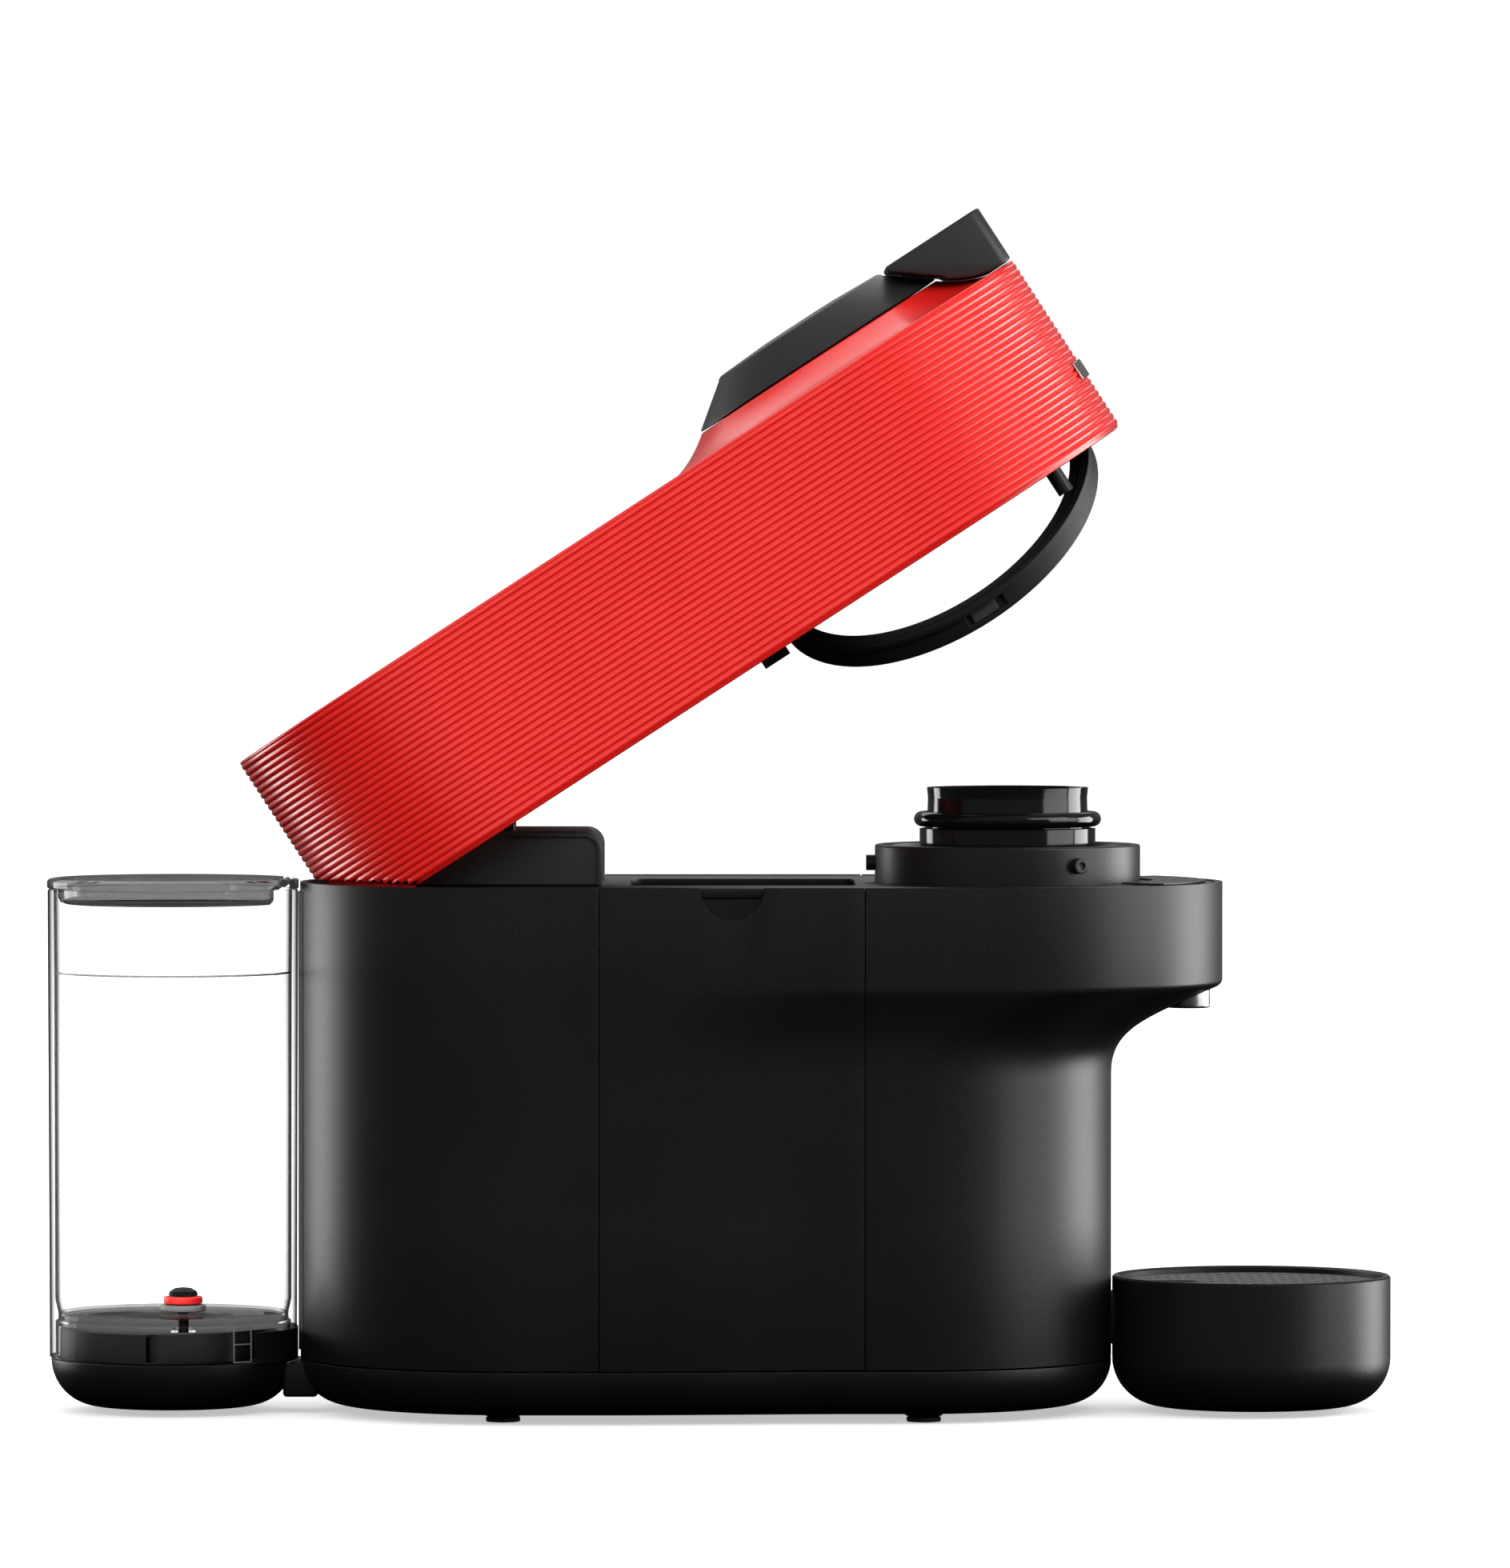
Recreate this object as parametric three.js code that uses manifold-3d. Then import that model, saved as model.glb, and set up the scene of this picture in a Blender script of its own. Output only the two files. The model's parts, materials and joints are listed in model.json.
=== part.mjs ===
// Pod coffee machine with its brewing head swung open, as separate named pieces.
// Millimetres. +X points to the cup side, +Z up, and the origin lies on the ground
// under the middle of the whole machine. The head, and the ring under it, are drawn
// level in their own groups and then turned to the open position.
import * as THREE from 'three';
import { mergeVertices } from 'three/addons/utils/BufferGeometryUtils.js';
import Module from 'manifold-3d';

const wasm = await Module();
wasm.setup();

// ---- driving dimensions -------------------------------------------------------------
const GAP = 0.3; // between pieces that sit against each other
const WALL = 2.4; // outer casings
const HALF_WIDTH = 68.2; // of the body and of the head
const REAR = -132.9; // rearmost point of the body and of the closed head
const BAND_FRONT = 159.7; // front of the body's upper band and of the closed head
const COLUMN_FRONT = 124.5; // front of the narrower column under the band
const COLUMN_HALF_WIDTH = HALF_WIDTH - 5; // of the column at its front end
const DECK = 168.5; // top of the body
const COLUMN_BOTTOM = 17.8; // above the groove over the base pan
const COVE = { bottom: DECK - 60.6, rise: 27.6, corner: 2.1, edge: 1.3 }; // flare under the band
const SEAM = { rear: -37.3, front: 45.7, width: 0.4 }; // either side of the bin drawer
const PAN = { top: 17.3, bottom: 3, round: 14 };
const FOOT = { x: [-67.7, 64.4], y: 40, radius: 5.4, pad: 1.5, boss: 8.5 };

const OPEN_ANGLE = 33.05; // degrees from the closed head to the open one
const HINGE = { fromRear: 33.9, height: 17.7, pin: 3, eye: 7 }; // height above the deck
const HEAD = { height: 62.8, wall: 2.6, bevel: 2.5, lip: 3.9, lift: 0.5, step: 3.1 };
const CROWN = { foot: 60, rim: 44.3, height: 7.5, bore: 36 };
const CAP = { low: 44.2, high: 30.3, height: 10.7, dome: 1.1, gap: 0.5 };
const BUTTON = { radius: 16, thick: 4.4, travel: 1.5 };
const GRIP = { reach: 67.3, halfWidth: 27, height: 11.7, back: 1.6, tongue: 9 }; // lever handle

const COLLAR = { radius: 42.1, bore: 39.3, top: DECK + 11.8, bottom: DECK - 8.5, floorBore: 30 };
const PIN = { reach: COLLAR.radius + 2.8, radius: 2.5, z: DECK + 5.9, angles: [60, 180, 300] };
const CUP = { radius: 27.9, top: DECK + 29.8, cavity: 24.9, rim: 25.9, depth: 32 };
const FLANGE = { radius: 29.7, seat: DECK + 17.1, thick: 4.8 }; // ring round the cup's neck
const MOTOR = { radius: 27, wall: 2.4, bottom: DECK - 68.5, top: DECK - 34.5, shaft: 4 };
const RING = { radius: 58, thick: 3.6, height: 9, tilt: 31.6, lift: 0.3, lockThick: 3.5 };
const HOUSING = { radius: 38, bore: 33, bottom: 12.5, top: 44, web: 3 };
const PLATE = { radius: 27, bottom: 30.5, thick: 3.5 };

const TANK = { radius: 39.7, footTaper: 0.5, top: DECK - 2.5, wall: 2.2, floor: 29.5, gap: 0.7 };
const TANK_X = REAR - TANK.gap - TANK.radius;
const LID = { radius: TANK.radius + 0.2, plug: TANK.radius - 3.3, thick: 3.6, plugDepth: 5 };
const PLINTH = { radius: TANK.radius - 3.8, top: 27, drift: 6.8 };
const DOCK = { radius: TANK.radius - 1, top: 17.2, bottom: 2.1, round: 15 };
const VALVE = { x: TANK_X + 3.1, bore: 2.5, spigot: 4, spigotDepth: 5, socket: 8.2 };
const TRAY = { radius: 44.2, top: 43.4, bottom: 2, round: 15.5, gap: GAP };
const GRID = { drop: 2, thick: 2, hole: 3, pitch: 13, ledge: 2.3 };
const SPOUT = { x: BAND_FRONT - 10.9, radius: 7, bore: 4.5, bottom: DECK - 40.2, top: DECK - 22.5 };
const BIN = { y: [-59.5, 56], bottom: 22, top: DECK - 18.5, wall: 2, side: 6 };
const NOTCH = { x: 4.2, radius: 10.1 };

// ---- derived places -----------------------------------------------------------------
const REAR_CENTRE = REAR + HALF_WIDTH;
const BREW_X = BAND_FRONT - HALF_WIDTH; // axis of the cup, the collar and the lever
const COLUMN_CENTRE = COLUMN_FRONT - COLUMN_HALF_WIDTH;
const COVE_TOP = COVE.bottom + COVE.rise;
const HINGE_X = REAR + HINGE.fromRear;
const HINGE_Z = DECK + HINGE.height;
const HEAD_FLOOR = DECK + HEAD.lift; // underside of the closed head
const HINGE_V = HINGE_Z - HEAD_FLOOR; // heights in the head count from its underside
const BREW_U = BREW_X - REAR; // lengths in the head count from its rear end
const HEAD_LENGTH = BAND_FRONT - REAR;
const CROWN_TOP = HEAD.height + CROWN.height;
const CAP_BOTTOM = CROWN_TOP + CAP.gap;
const CAP_TOP = CAP_BOTTOM + CAP.height;
const RING_V = RING.lift + RING.height / 2;
const TRAY_X = COLUMN_FRONT + TRAY.radius + TRAY.gap;
const DECK_TOP = DECK - GAP;
const DECK_THICK = 3;
const PEG = { ahead: 41.3, radius: 2.6, ring: RING.radius + 3.2, tip: -7.7 };
const FAR = 400; // half the size of a cutting block
const ROUND = 28; // sides of a full circle
const HALF_ROUND = 14; // sides of the body's and the head's round ends

// ---- materials ----------------------------------------------------------------------
function material(color, roughness, metalness = 0) {
  return new THREE.MeshStandardMaterial({ color, roughness, metalness });
}

const BLACK = material(0x161616, 0.5);
const GLOSS_BLACK = material(0x0c0c0d, 0.12);
const RED = material(0xd81f1d, 0.3);
const CHROME = material(0xd0d2d4, 0.15, 1);
const STEEL = material(0xa5a8aa, 0.35, 1);
const RUBBER = material(0x1f1f20, 0.85);
const CLEAR = material(0xe9edef, 0.05);
const SMOKE = material(0x6c6c6c, 0.1);
const SEAL_RED = material(0xb51a18, 0.5);
const GREY = material(0x8b8d8e, 0.5);
const BOARD = material(0x1d5a36, 0.5);
const HOSE = material(0xd9dad6, 0.45);

// ---- shape helpers ------------------------------------------------------------------
function signedVolume(position, triangles) {
  const [a, b, c] = [new THREE.Vector3(), new THREE.Vector3(), new THREE.Vector3()];
  let sum = 0;
  for (let i = 0; i < triangles.length; i += 3) {
    a.fromArray(position, 3 * triangles[i]);
    b.fromArray(position, 3 * triangles[i + 1]);
    c.fromArray(position, 3 * triangles[i + 2]);
    sum += a.dot(b.cross(c)) / 6;
  }
  return sum;
}

function toSolid(geometry) {
  const bare = geometry.clone();
  bare.deleteAttribute('normal');
  bare.deleteAttribute('uv');
  const merged = mergeVertices(bare, 1e-4);
  const position = Float32Array.from(merged.attributes.position.array);
  const index = merged.index.array;
  const triangles = [];
  for (let i = 0; i < index.length; i += 3) {
    const [a, b, c] = [index[i], index[i + 1], index[i + 2]];
    // a lathe closes on its axis with triangles that have no area
    if (a !== b && b !== c && c !== a) triangles.push(a, b, c);
  }
  if (signedVolume(position, triangles) < 0) triangles.reverse();
  const triVerts = Uint32Array.from(triangles);
  return new wasm.Manifold(new wasm.Mesh({ numProp: 3, vertProperties: position, triVerts }));
}

function toGeometry(solid) {
  const mesh = solid.getMesh();
  const geometry = new THREE.BufferGeometry();
  const position = Float32Array.from(mesh.vertProperties);
  geometry.setAttribute('position', new THREE.BufferAttribute(position, 3));
  geometry.setIndex(new THREE.BufferAttribute(Uint32Array.from(mesh.triVerts), 1));
  geometry.computeVertexNormals();
  return geometry;
}

function combine(base, others, how) {
  return toGeometry(others.reduce((solid, other) => solid[how](toSolid(other)), toSolid(base)));
}

const join = (base, ...others) => combine(base, others, 'add');
const cut = (base, ...others) => combine(base, others, 'subtract');
const common = (base, ...others) => combine(base, others, 'intersect');

function block(x0, x1, y0, y1, z0, z1) {
  const box = new THREE.BoxGeometry(x1 - x0, y1 - y0, z1 - z0);
  return box.translate((x0 + x1) / 2, (y0 + y1) / 2, (z0 + z1) / 2);
}

function disc(radius, z0, z1, x = 0, y = 0, sides = ROUND) {
  const cylinder = new THREE.CylinderGeometry(radius, radius, z1 - z0, sides);
  return cylinder.rotateX(Math.PI / 2).translate(x, y, (z0 + z1) / 2);
}

function rodAlongY(radius, x, z, y0, y1, sides = 14) {
  const cylinder = new THREE.CylinderGeometry(radius, radius, y1 - y0, sides);
  return cylinder.translate(x, (y0 + y1) / 2, z);
}

function rodAlongX(radius, y, z, x0, x1, sides = 14) {
  const cylinder = new THREE.CylinderGeometry(radius, radius, x1 - x0, sides);
  return cylinder.rotateZ(Math.PI / 2).translate((x0 + x1) / 2, y, z);
}

// A profile of [radius, z] points turned about the vertical through x, y.
function turned(profile, x = 0, y = 0, sides = ROUND) {
  const points = profile.map(([r, z]) => new THREE.Vector2(r, z));
  return new THREE.LatheGeometry(points, sides).rotateX(Math.PI / 2).translate(x, y, 0);
}

function washer(outer, inner, z0, z1, x = 0, y = 0, sides = ROUND) {
  return turned([[inner, z0], [outer, z0], [outer, z1], [inner, z1], [inner, z0]], x, y, sides);
}

// An outline of [x, y] points raised from z0 to z1.
function prism(outline, z0, z1) {
  const shape = new THREE.Shape(outline.map(([x, y]) => new THREE.Vector2(x, y)));
  const settings = { depth: z1 - z0, bevelEnabled: false };
  return new THREE.ExtrudeGeometry(shape, settings).translate(0, 0, z0);
}

// An outline of [x, z] points drawn out from y0 to y1.
function sidePrism(outline, y0, y1) {
  return prism(outline, -y1, -y0).rotateX(Math.PI / 2);
}

// A skin over convex outlines that all have the same number of points.
function loft(sections) {
  const count = sections[0].outline.length;
  const position = [];
  const index = [];
  sections.forEach(({ outline, z }) => outline.forEach(([x, y]) => position.push(x, y, z)));
  for (let level = 0; level < sections.length - 1; level++) {
    for (let i = 0; i < count; i++) {
      const [a, b] = [level * count + i, level * count + (i + 1) % count];
      index.push(a, b, b + count, a, b + count, a + count);
    }
  }
  const top = (sections.length - 1) * count;
  for (let i = 1; i < count - 1; i++) {
    index.push(0, i + 1, i, top, top + i, top + i + 1);
  }
  const geometry = new THREE.BufferGeometry();
  geometry.setAttribute('position', new THREE.Float32BufferAttribute(position, 3));
  geometry.setIndex(index);
  return geometry;
}

// A hose along a smooth curve through the points.
function hose(radius, points, steps = 12) {
  const section = new THREE.Shape().absarc(0, 0, radius, 0, 2 * Math.PI);
  const path = new THREE.CatmullRomCurve3(points.map((point) => new THREE.Vector3(...point)));
  return new THREE.ExtrudeGeometry(section, { steps, curveSegments: 4, extrudePath: path });
}

function arc(radius, from, to, steps, x = 0, y = 0) {
  return Array.from({ length: steps + 1 }, (_, i) => {
    const angle = THREE.MathUtils.degToRad(from + (to - from) * i / steps);
    return [x + radius * Math.cos(angle), y + radius * Math.sin(angle)];
  });
}

function stadium(rearCentre, frontCentre, radius, steps = HALF_ROUND) {
  const front = arc(radius, -90, 90, steps, frontCentre);
  return [...front, ...arc(radius, 90, 270, steps, rearCentre)];
}

const { lerp, smoothstep } = THREE.MathUtils;

// Adds a named piece, with its faces turned outwards whichever way its profile runs.
function put(place, name, geometry, look) {
  const mesh = new THREE.Mesh(toGeometry(toSolid(geometry)), look);
  mesh.name = name;
  place.add(mesh);
}

// ---- body outline -------------------------------------------------------------------
// The column keeps the body's full width at the rear and narrows over the bin drawer.
function columnHalfWidth(x) {
  return lerp(HALF_WIDTH, COLUMN_HALF_WIDTH, smoothstep(x, SEAM.rear, SEAM.front));
}

// Outline of the body: flare 0 is the column, flare 1 is the band above it.
function bodyOutline(flare, inset) {
  const centre = lerp(COLUMN_CENTRE, BREW_X, flare);
  const radius = lerp(COLUMN_HALF_WIDTH, HALF_WIDTH, flare) - inset;
  const side = [];
  const stations = 5;
  for (let i = 1; i < stations; i++) {
    const halfWidth = columnHalfWidth(lerp(COLUMN_CENTRE, REAR_CENTRE, i / stations));
    const x = lerp(centre, REAR_CENTRE, i / stations);
    side.push([x, lerp(halfWidth, HALF_WIDTH, flare) - inset]);
  }
  const mirrored = side.map(([x, y]) => [x, -y]).reverse();
  const front = arc(radius, -90, 90, HALF_ROUND, centre);
  const rear = arc(HALF_WIDTH - inset, 90, 270, HALF_ROUND, REAR_CENTRE);
  return [...front, ...side, ...rear, ...mirrored];
}

// The whole body as one solid, from the groove to the deck. The underside of the band
// leaves the column upright and sweeps out to the band's lower edge.
function bodySolid(inset, raise, bottom, top) {
  const out = BAND_FRONT - COLUMN_FRONT;
  const sweep = new THREE.CubicBezierCurve(
    new THREE.Vector2(0, COVE.bottom),
    new THREE.Vector2(0, COVE_TOP - 14),
    new THREE.Vector2(0.3 * out, COVE_TOP - 10.2),
    new THREE.Vector2(out - COVE.edge, COVE_TOP),
  );
  const flared = sweep.getPoints(5).map(({ x, y }) => ({
    outline: bodyOutline(x / out, inset),
    z: y + raise,
  }));
  return loft([
    { outline: bodyOutline(0, inset), z: bottom },
    ...flared,
    { outline: bodyOutline(1, inset), z: COVE_TOP + COVE.corner + raise },
    { outline: bodyOutline(1, inset), z: top },
  ]);
}

function bodyTube() {
  const inner = bodySolid(WALL, WALL, COLUMN_BOTTOM - 1, DECK + 1);
  return cut(bodySolid(0, 0, COLUMN_BOTTOM, DECK), inner);
}

// ---- base ---------------------------------------------------------------------------
const HOSE_BORE = { radius: 3.7, z: 11 };
const INLET = { angle: 140, radius: 6, z: 32, proud: 2.2 };

function panSolid(inset, steps) {
  const turn = PAN.round - inset;
  const sections = arc(turn, -90, 0, steps).map(([x, z]) => ({
    outline: bodyOutline(0, PAN.round - x),
    z: PAN.bottom + PAN.round + z,
  }));
  return loft([...sections, { outline: bodyOutline(0, inset), z: PAN.top + (inset ? 1 : 0) }]);
}

function basePan() {
  const bosses = [];
  for (const x of FOOT.x) {
    for (const y of [-FOOT.y, FOOT.y]) {
      const low = FOOT.pad + GAP;
      const high = PAN.bottom + WALL + 1.6;
      const profile = [[0, low], [FOOT.radius + 0.4, low], [FOOT.boss, high], [0, high]];
      bosses.push(turned(profile, x, y, 16));
    }
  }
  const shell = cut(panSolid(0, 3), panSolid(WALL, 2));
  const hoseBore = rodAlongX(HOSE_BORE.radius, 0, HOSE_BORE.z, REAR - 10, REAR + 20);
  return cut(join(shell, ...bosses), hoseBore);
}

function inletDirection() {
  const angle = THREE.MathUtils.degToRad(INLET.angle);
  return [Math.cos(angle), Math.sin(angle)];
}

// A round gland, or the hole for it, pointing out of the rear of the casing.
function inletRod(radius, from, to) {
  const [dx, dy] = inletDirection();
  const middle = (from + to) / 2;
  const rod = rodAlongX(radius, 0, INLET.z, from, to, 16).translate(-middle, 0, -INLET.z);
  rod.rotateZ(THREE.MathUtils.degToRad(INLET.angle));
  return rod.translate(REAR_CENTRE + dx * middle, dy * middle, INLET.z);
}

function rearShell(tube) {
  const half = common(tube, block(-FAR, SEAM.rear - SEAM.width / 2, -FAR, FAR, 0, FAR));
  return cut(half, inletRod(INLET.radius + GAP, HALF_WIDTH - 8, HALF_WIDTH + 8));
}

const TAB = { y: [1.5, 7.5], z: [22, 38], depth: 5 }; // the tray's two hooks

function trayTabs(grow) {
  return [-1, 1].map((side) => {
    const [y0, y1] = TAB.y.map((y) => side * y).sort((a, b) => a - b);
    const [z0, z1] = TAB.z;
    const [low, high] = [COLUMN_FRONT - TAB.depth - grow, COLUMN_FRONT + 6];
    return block(low, high, y0 - grow, y1 + grow, z0 - grow, z1 + grow);
  });
}

function frontShell(tube) {
  const half = common(tube, block(SEAM.front + SEAM.width / 2, FAR, -FAR, FAR, 0, FAR));
  const spoutHole = disc(SPOUT.radius + GAP, SPOUT.bottom - 10, SPOUT.top, SPOUT.x, 0, 18);
  return cut(half, spoutHole, ...trayTabs(0.4));
}

function sidePanel(tube, side) {
  const edge = SEAM.width / 2;
  const [y0, y1] = side < 0 ? [-FAR, 0] : [0, FAR];
  return common(tube, block(SEAM.rear + edge, SEAM.front - edge, y0, y1, 0, FAR));
}

const CHUTE = { x: [-28, 43], halfWidth: 34 };
const WELL_FRONT = HINGE_X + 6; // the rear end of the open head dips in behind this

function deckPlate() {
  const bottom = DECK_TOP - DECK_THICK;
  const plate = prism(bodyOutline(1, WALL + GAP), bottom, DECK_TOP);
  const pegY = -Math.sqrt(PEG.ring ** 2 - PEG.ahead ** 2);
  const [z0, z1] = [bottom - 1, DECK + 1];
  return cut(
    plate,
    block(-FAR, WELL_FRONT, -FAR, FAR, z0, z1),
    block(CHUTE.x[0], CHUTE.x[1], -CHUTE.halfWidth, CHUTE.halfWidth, z0, z1),
    disc(COLLAR.radius + GAP + 0.1, z0, z1, BREW_X),
    disc(PEG.radius + 1.6, z0, z1, BREW_X + PEG.ahead, pegY, 16),
  );
}

function deckGrille() {
  const [inner, outer] = [COLLAR.radius + 4, HALF_WIDTH - WALL - 3];
  const spread = 40;
  const outline = [
    ...arc(outer, -spread, spread, 12, BREW_X),
    ...arc(inner, spread, -spread, 12, BREW_X),
  ];
  return prism(outline, DECK_TOP + GAP, DECK_TOP + GAP + 0.5);
}

const TOWER = { front: -36.8, rear: -94, halfWidth: 41, height: 16.3, round: 5.5 };
const EYE = { inner: 28, outer: 40 }; // hinge eyes of the tower, each side of the middle

function hingeTower() {
  const bottom = DECK;
  const top = bottom + TOWER.height;
  const profile = (inset) => [
    [TOWER.rear + inset, bottom - (inset ? 1 : 0)],
    [TOWER.front - inset, bottom - (inset ? 1 : 0)],
    ...arc(TOWER.round - inset, 0, 90, 5, TOWER.front - TOWER.round, top - TOWER.round),
    [TOWER.rear + inset, top - inset],
  ];
  const { halfWidth } = TOWER;
  const outer = sidePrism(profile(0), -halfWidth, halfWidth);
  const hollow = sidePrism(profile(WALL), -halfWidth + WALL, halfWidth - WALL);
  const eyes = [];
  for (const side of [-1, 1]) {
    const [y0, y1] = [side * EYE.inner, side * EYE.outer].sort((a, b) => a - b);
    eyes.push(rodAlongY(HINGE.eye, HINGE_X, HINGE_Z, y0, y1));
    eyes.push(block(HINGE_X, TOWER.rear + 1, y0, y1, HINGE_Z - HINGE.eye + 1, top));
  }
  const pinBore = rodAlongY(HINGE.pin + GAP, HINGE_X, HINGE_Z, -FAR, FAR);
  return cut(join(cut(outer, hollow), ...eyes), pinBore);
}

function capsuleCollar() {
  const { radius, bore, top, bottom, floorBore } = COLLAR;
  const floor = bottom + 3;
  const profile = [
    [floorBore, bottom], [radius, bottom], [radius, top],
    [bore, top], [bore, floor], [floorBore, floor], [floorBore, bottom],
  ];
  const pinBores = PIN.angles.map((angle) => pinRod(angle, PIN.radius + GAP, bore - 2));
  return cut(turned(profile, BREW_X), ...pinBores, disc(3, bottom - 1, floor + 1, DRAIN_X, 0, 16));
}

// A bayonet pin pointing out of the collar at an angle about the brewing axis.
function pinRod(angle, radius, from) {
  const rod = rodAlongX(radius, 0, PIN.z, from, PIN.reach, 16);
  return rod.rotateZ(THREE.MathUtils.degToRad(angle)).translate(BREW_X, 0, 0);
}

const DRAIN_X = BREW_X + (COLLAR.floorBore + COLLAR.bore) / 2; // coffee leaves the collar
const DUCT = { halfWidth: 7.4, wall: 2 };

function coffeeDuct() {
  const [low, high] = [SPOUT.top + GAP, COLLAR.bottom - GAP];
  const [x0, x1] = [DRAIN_X - 6, SPOUT.x + SPOUT.radius];
  const { halfWidth, wall } = DUCT;
  const outer = block(x0, x1, -halfWidth, halfWidth, low, high);
  const [w, side] = [wall, halfWidth - wall];
  const channel = block(x0 + w, x1 - w, -side, side, low + w, high + 1);
  return cut(outer, channel, disc(SPOUT.bore, low - 1, low + w + 1, SPOUT.x, 0, 16));
}

function coffeeSpout() {
  return washer(SPOUT.radius, SPOUT.bore, SPOUT.bottom, SPOUT.top, SPOUT.x, 0, 18);
}

const BEARING = { radius: 11, thick: 5, z: MOTOR.top + 3 };
const BRACKET_RADIUS = Math.min(40, BREW_X - SEAM.front - 2); // stays clear of the bin

function motorStator() {
  const { radius, wall, bottom, top, shaft } = MOTOR;
  const bore = shaft + 1;
  const [low, high] = [bottom + wall, top - wall];
  return turned([
    [0, bottom], [radius, bottom], [radius, top], [bore, top],
    [bore, high], [radius - wall, high], [radius - wall, low], [0, low],
  ], BREW_X);
}

function motorBracket() {
  return washer(BRACKET_RADIUS, BEARING.radius + GAP, BEARING.z, BEARING.z + 3, BREW_X);
}

function shaftBearing() {
  const top = BEARING.z + BEARING.thick;
  return washer(BEARING.radius, MOTOR.shaft + GAP, BEARING.z - 1, top, BREW_X, 0, 18);
}

const BOILER = { x: -70, y: 30, radius: 22, z: [40, 128] };
const PUMP = { x: -100, y: -20, radius: 15, z: [30, 108] };

function boilerTank() {
  const { x, y, radius, z: [low, high] } = BOILER;
  const shoulder = 5;
  return turned([
    [0, low], [radius - shoulder, low], [radius, low + shoulder],
    [radius, high - shoulder], [radius - shoulder, high], [0, high],
  ], x, y, 18);
}

function waterPump() {
  const { x, y, radius, z: [low, high] } = PUMP;
  const neck = 6;
  return turned([
    [0, low], [neck, low], [neck, low + 12], [radius, low + 12],
    [radius, high - 12], [neck, high - 12], [neck, high], [0, high],
  ], x, y, 18);
}

function controlBoard() {
  const x = SEAM.rear - 7;
  return block(x, x + 1.6, -50, 50, 60, 140);
}

function inletHose() {
  const { x, y, z: [low] } = PUMP;
  const level = HOSE_BORE.z;
  return hose(2.5, [
    [TANK_X + 8, 0, level], [REAR - 12, 0, level], [REAR + 4, 0, level], [REAR + 14, -2, level],
    [x - 8, y + 9, level + 3], [x - 1, y + 1, level + 9], [x, y, low - GAP],
  ]);
}

function boilerHose() {
  const [from, to] = [PUMP, BOILER];
  const rise = to.z[1] + 12;
  return hose(2.5, [
    [from.x, from.y, from.z[1] + GAP], [from.x, from.y, from.z[1] + 12],
    [(from.x + to.x) / 2, (from.y + to.y) / 2, rise],
    [to.x, to.y, to.z[1] + 10], [to.x, to.y, to.z[1] + GAP],
  ]);
}

// ---- tank dock ----------------------------------------------------------------------
function cupProfile({ radius, top, bottom, round }, wall) {
  const outer = arc(round, -90, 0, 4, radius - round, bottom + round);
  const inner = arc(round - wall, 0, -90, 3, radius - round, bottom + round);
  const rim = [[radius, top], [radius - wall, top]];
  return [[0, bottom], ...outer, ...rim, ...inner, [0, bottom + wall]];
}

function tankDock() {
  const cup = turned(cupProfile(DOCK, WALL), TANK_X);
  const inside = TANK_X + DOCK.radius - WALL;
  const neck = cut(
    block(inside, REAR + 6, -14, 14, DOCK.bottom + 4, PAN.top - GAP),
    prism(bodyOutline(0, -GAP), 0, DOCK.top + 1),
  );
  const hoseBore = rodAlongX(HOSE_BORE.radius, 0, HOSE_BORE.z, inside - 8, REAR + 8);
  return cut(join(cup, neck), hoseBore);
}

const SOCKET_FLOOR = 20;

function tankPlinth() {
  const { radius, top, drift } = PLINTH;
  const bottom = DOCK.top + GAP;
  const shape = common(
    disc(radius, bottom, top, TANK_X),
    disc(radius, bottom - 1, top + 1, TANK_X - drift),
  );
  return cut(shape, disc(VALVE.socket, SOCKET_FLOOR, top + 1, VALVE.x, 0, 16));
}

function dockSeal() {
  const [z0, z1] = [SOCKET_FLOOR + GAP, SOCKET_FLOOR + 2.3];
  return washer(VALVE.socket - GAP, VALVE.spigot + 0.5, z0, z1, VALVE.x, 0, 16);
}

// ---- water tank ---------------------------------------------------------------------
const TANK_FLOOR_TOP = TANK.floor + 2;
const LID_BOTTOM = TANK.top + GAP;
const LID_PIN = { x: TANK_X + TANK.radius - 3.9, z: LID_BOTTOM + 1.9, radius: 1.2, halfLength: 14 };

function tankBody() {
  const { top, radius, footTaper, wall, floor } = TANK;
  const foot = radius - footTaper;
  const inner = [radius - wall, foot - wall];
  const vessel = turned([
    [0, floor], [inner[1], floor], [inner[1], COLUMN_BOTTOM], [foot, COLUMN_BOTTOM],
    [radius, top], [inner[0], top], [inner[1], TANK_FLOOR_TOP], [0, TANK_FLOOR_TOP],
  ], TANK_X);
  const spigot = disc(VALVE.spigot, floor - VALVE.spigotDepth, floor + 1, VALVE.x, 0, 16);
  const bore = disc(VALVE.bore, floor - VALVE.spigotDepth - 1, floor + 3, VALVE.x, 0, 16);
  return cut(join(vessel, spigot), bore);
}

function lidDisc() {
  const { radius, plug, thick, plugDepth } = LID;
  const top = LID_BOTTOM + thick;
  return turned([
    [0, LID_BOTTOM - plugDepth], [plug - 2, LID_BOTTOM - plugDepth],
    [plug, LID_BOTTOM - plugDepth + 2], [plug, LID_BOTTOM], [radius, LID_BOTTOM],
    [radius, top - 0.8], [radius - 2, top - 0.2], [0, top],
  ], TANK_X);
}

function tankLid() {
  const cutAt = LID_PIN.x - LID_PIN.radius - GAP;
  const plugEnd = cutAt - 3;
  return cut(
    lidDisc(),
    block(cutAt, FAR, -FAR, FAR, 0, FAR),
    block(plugEnd, FAR, -FAR, FAR, 0, LID_BOTTOM),
  );
}

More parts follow.
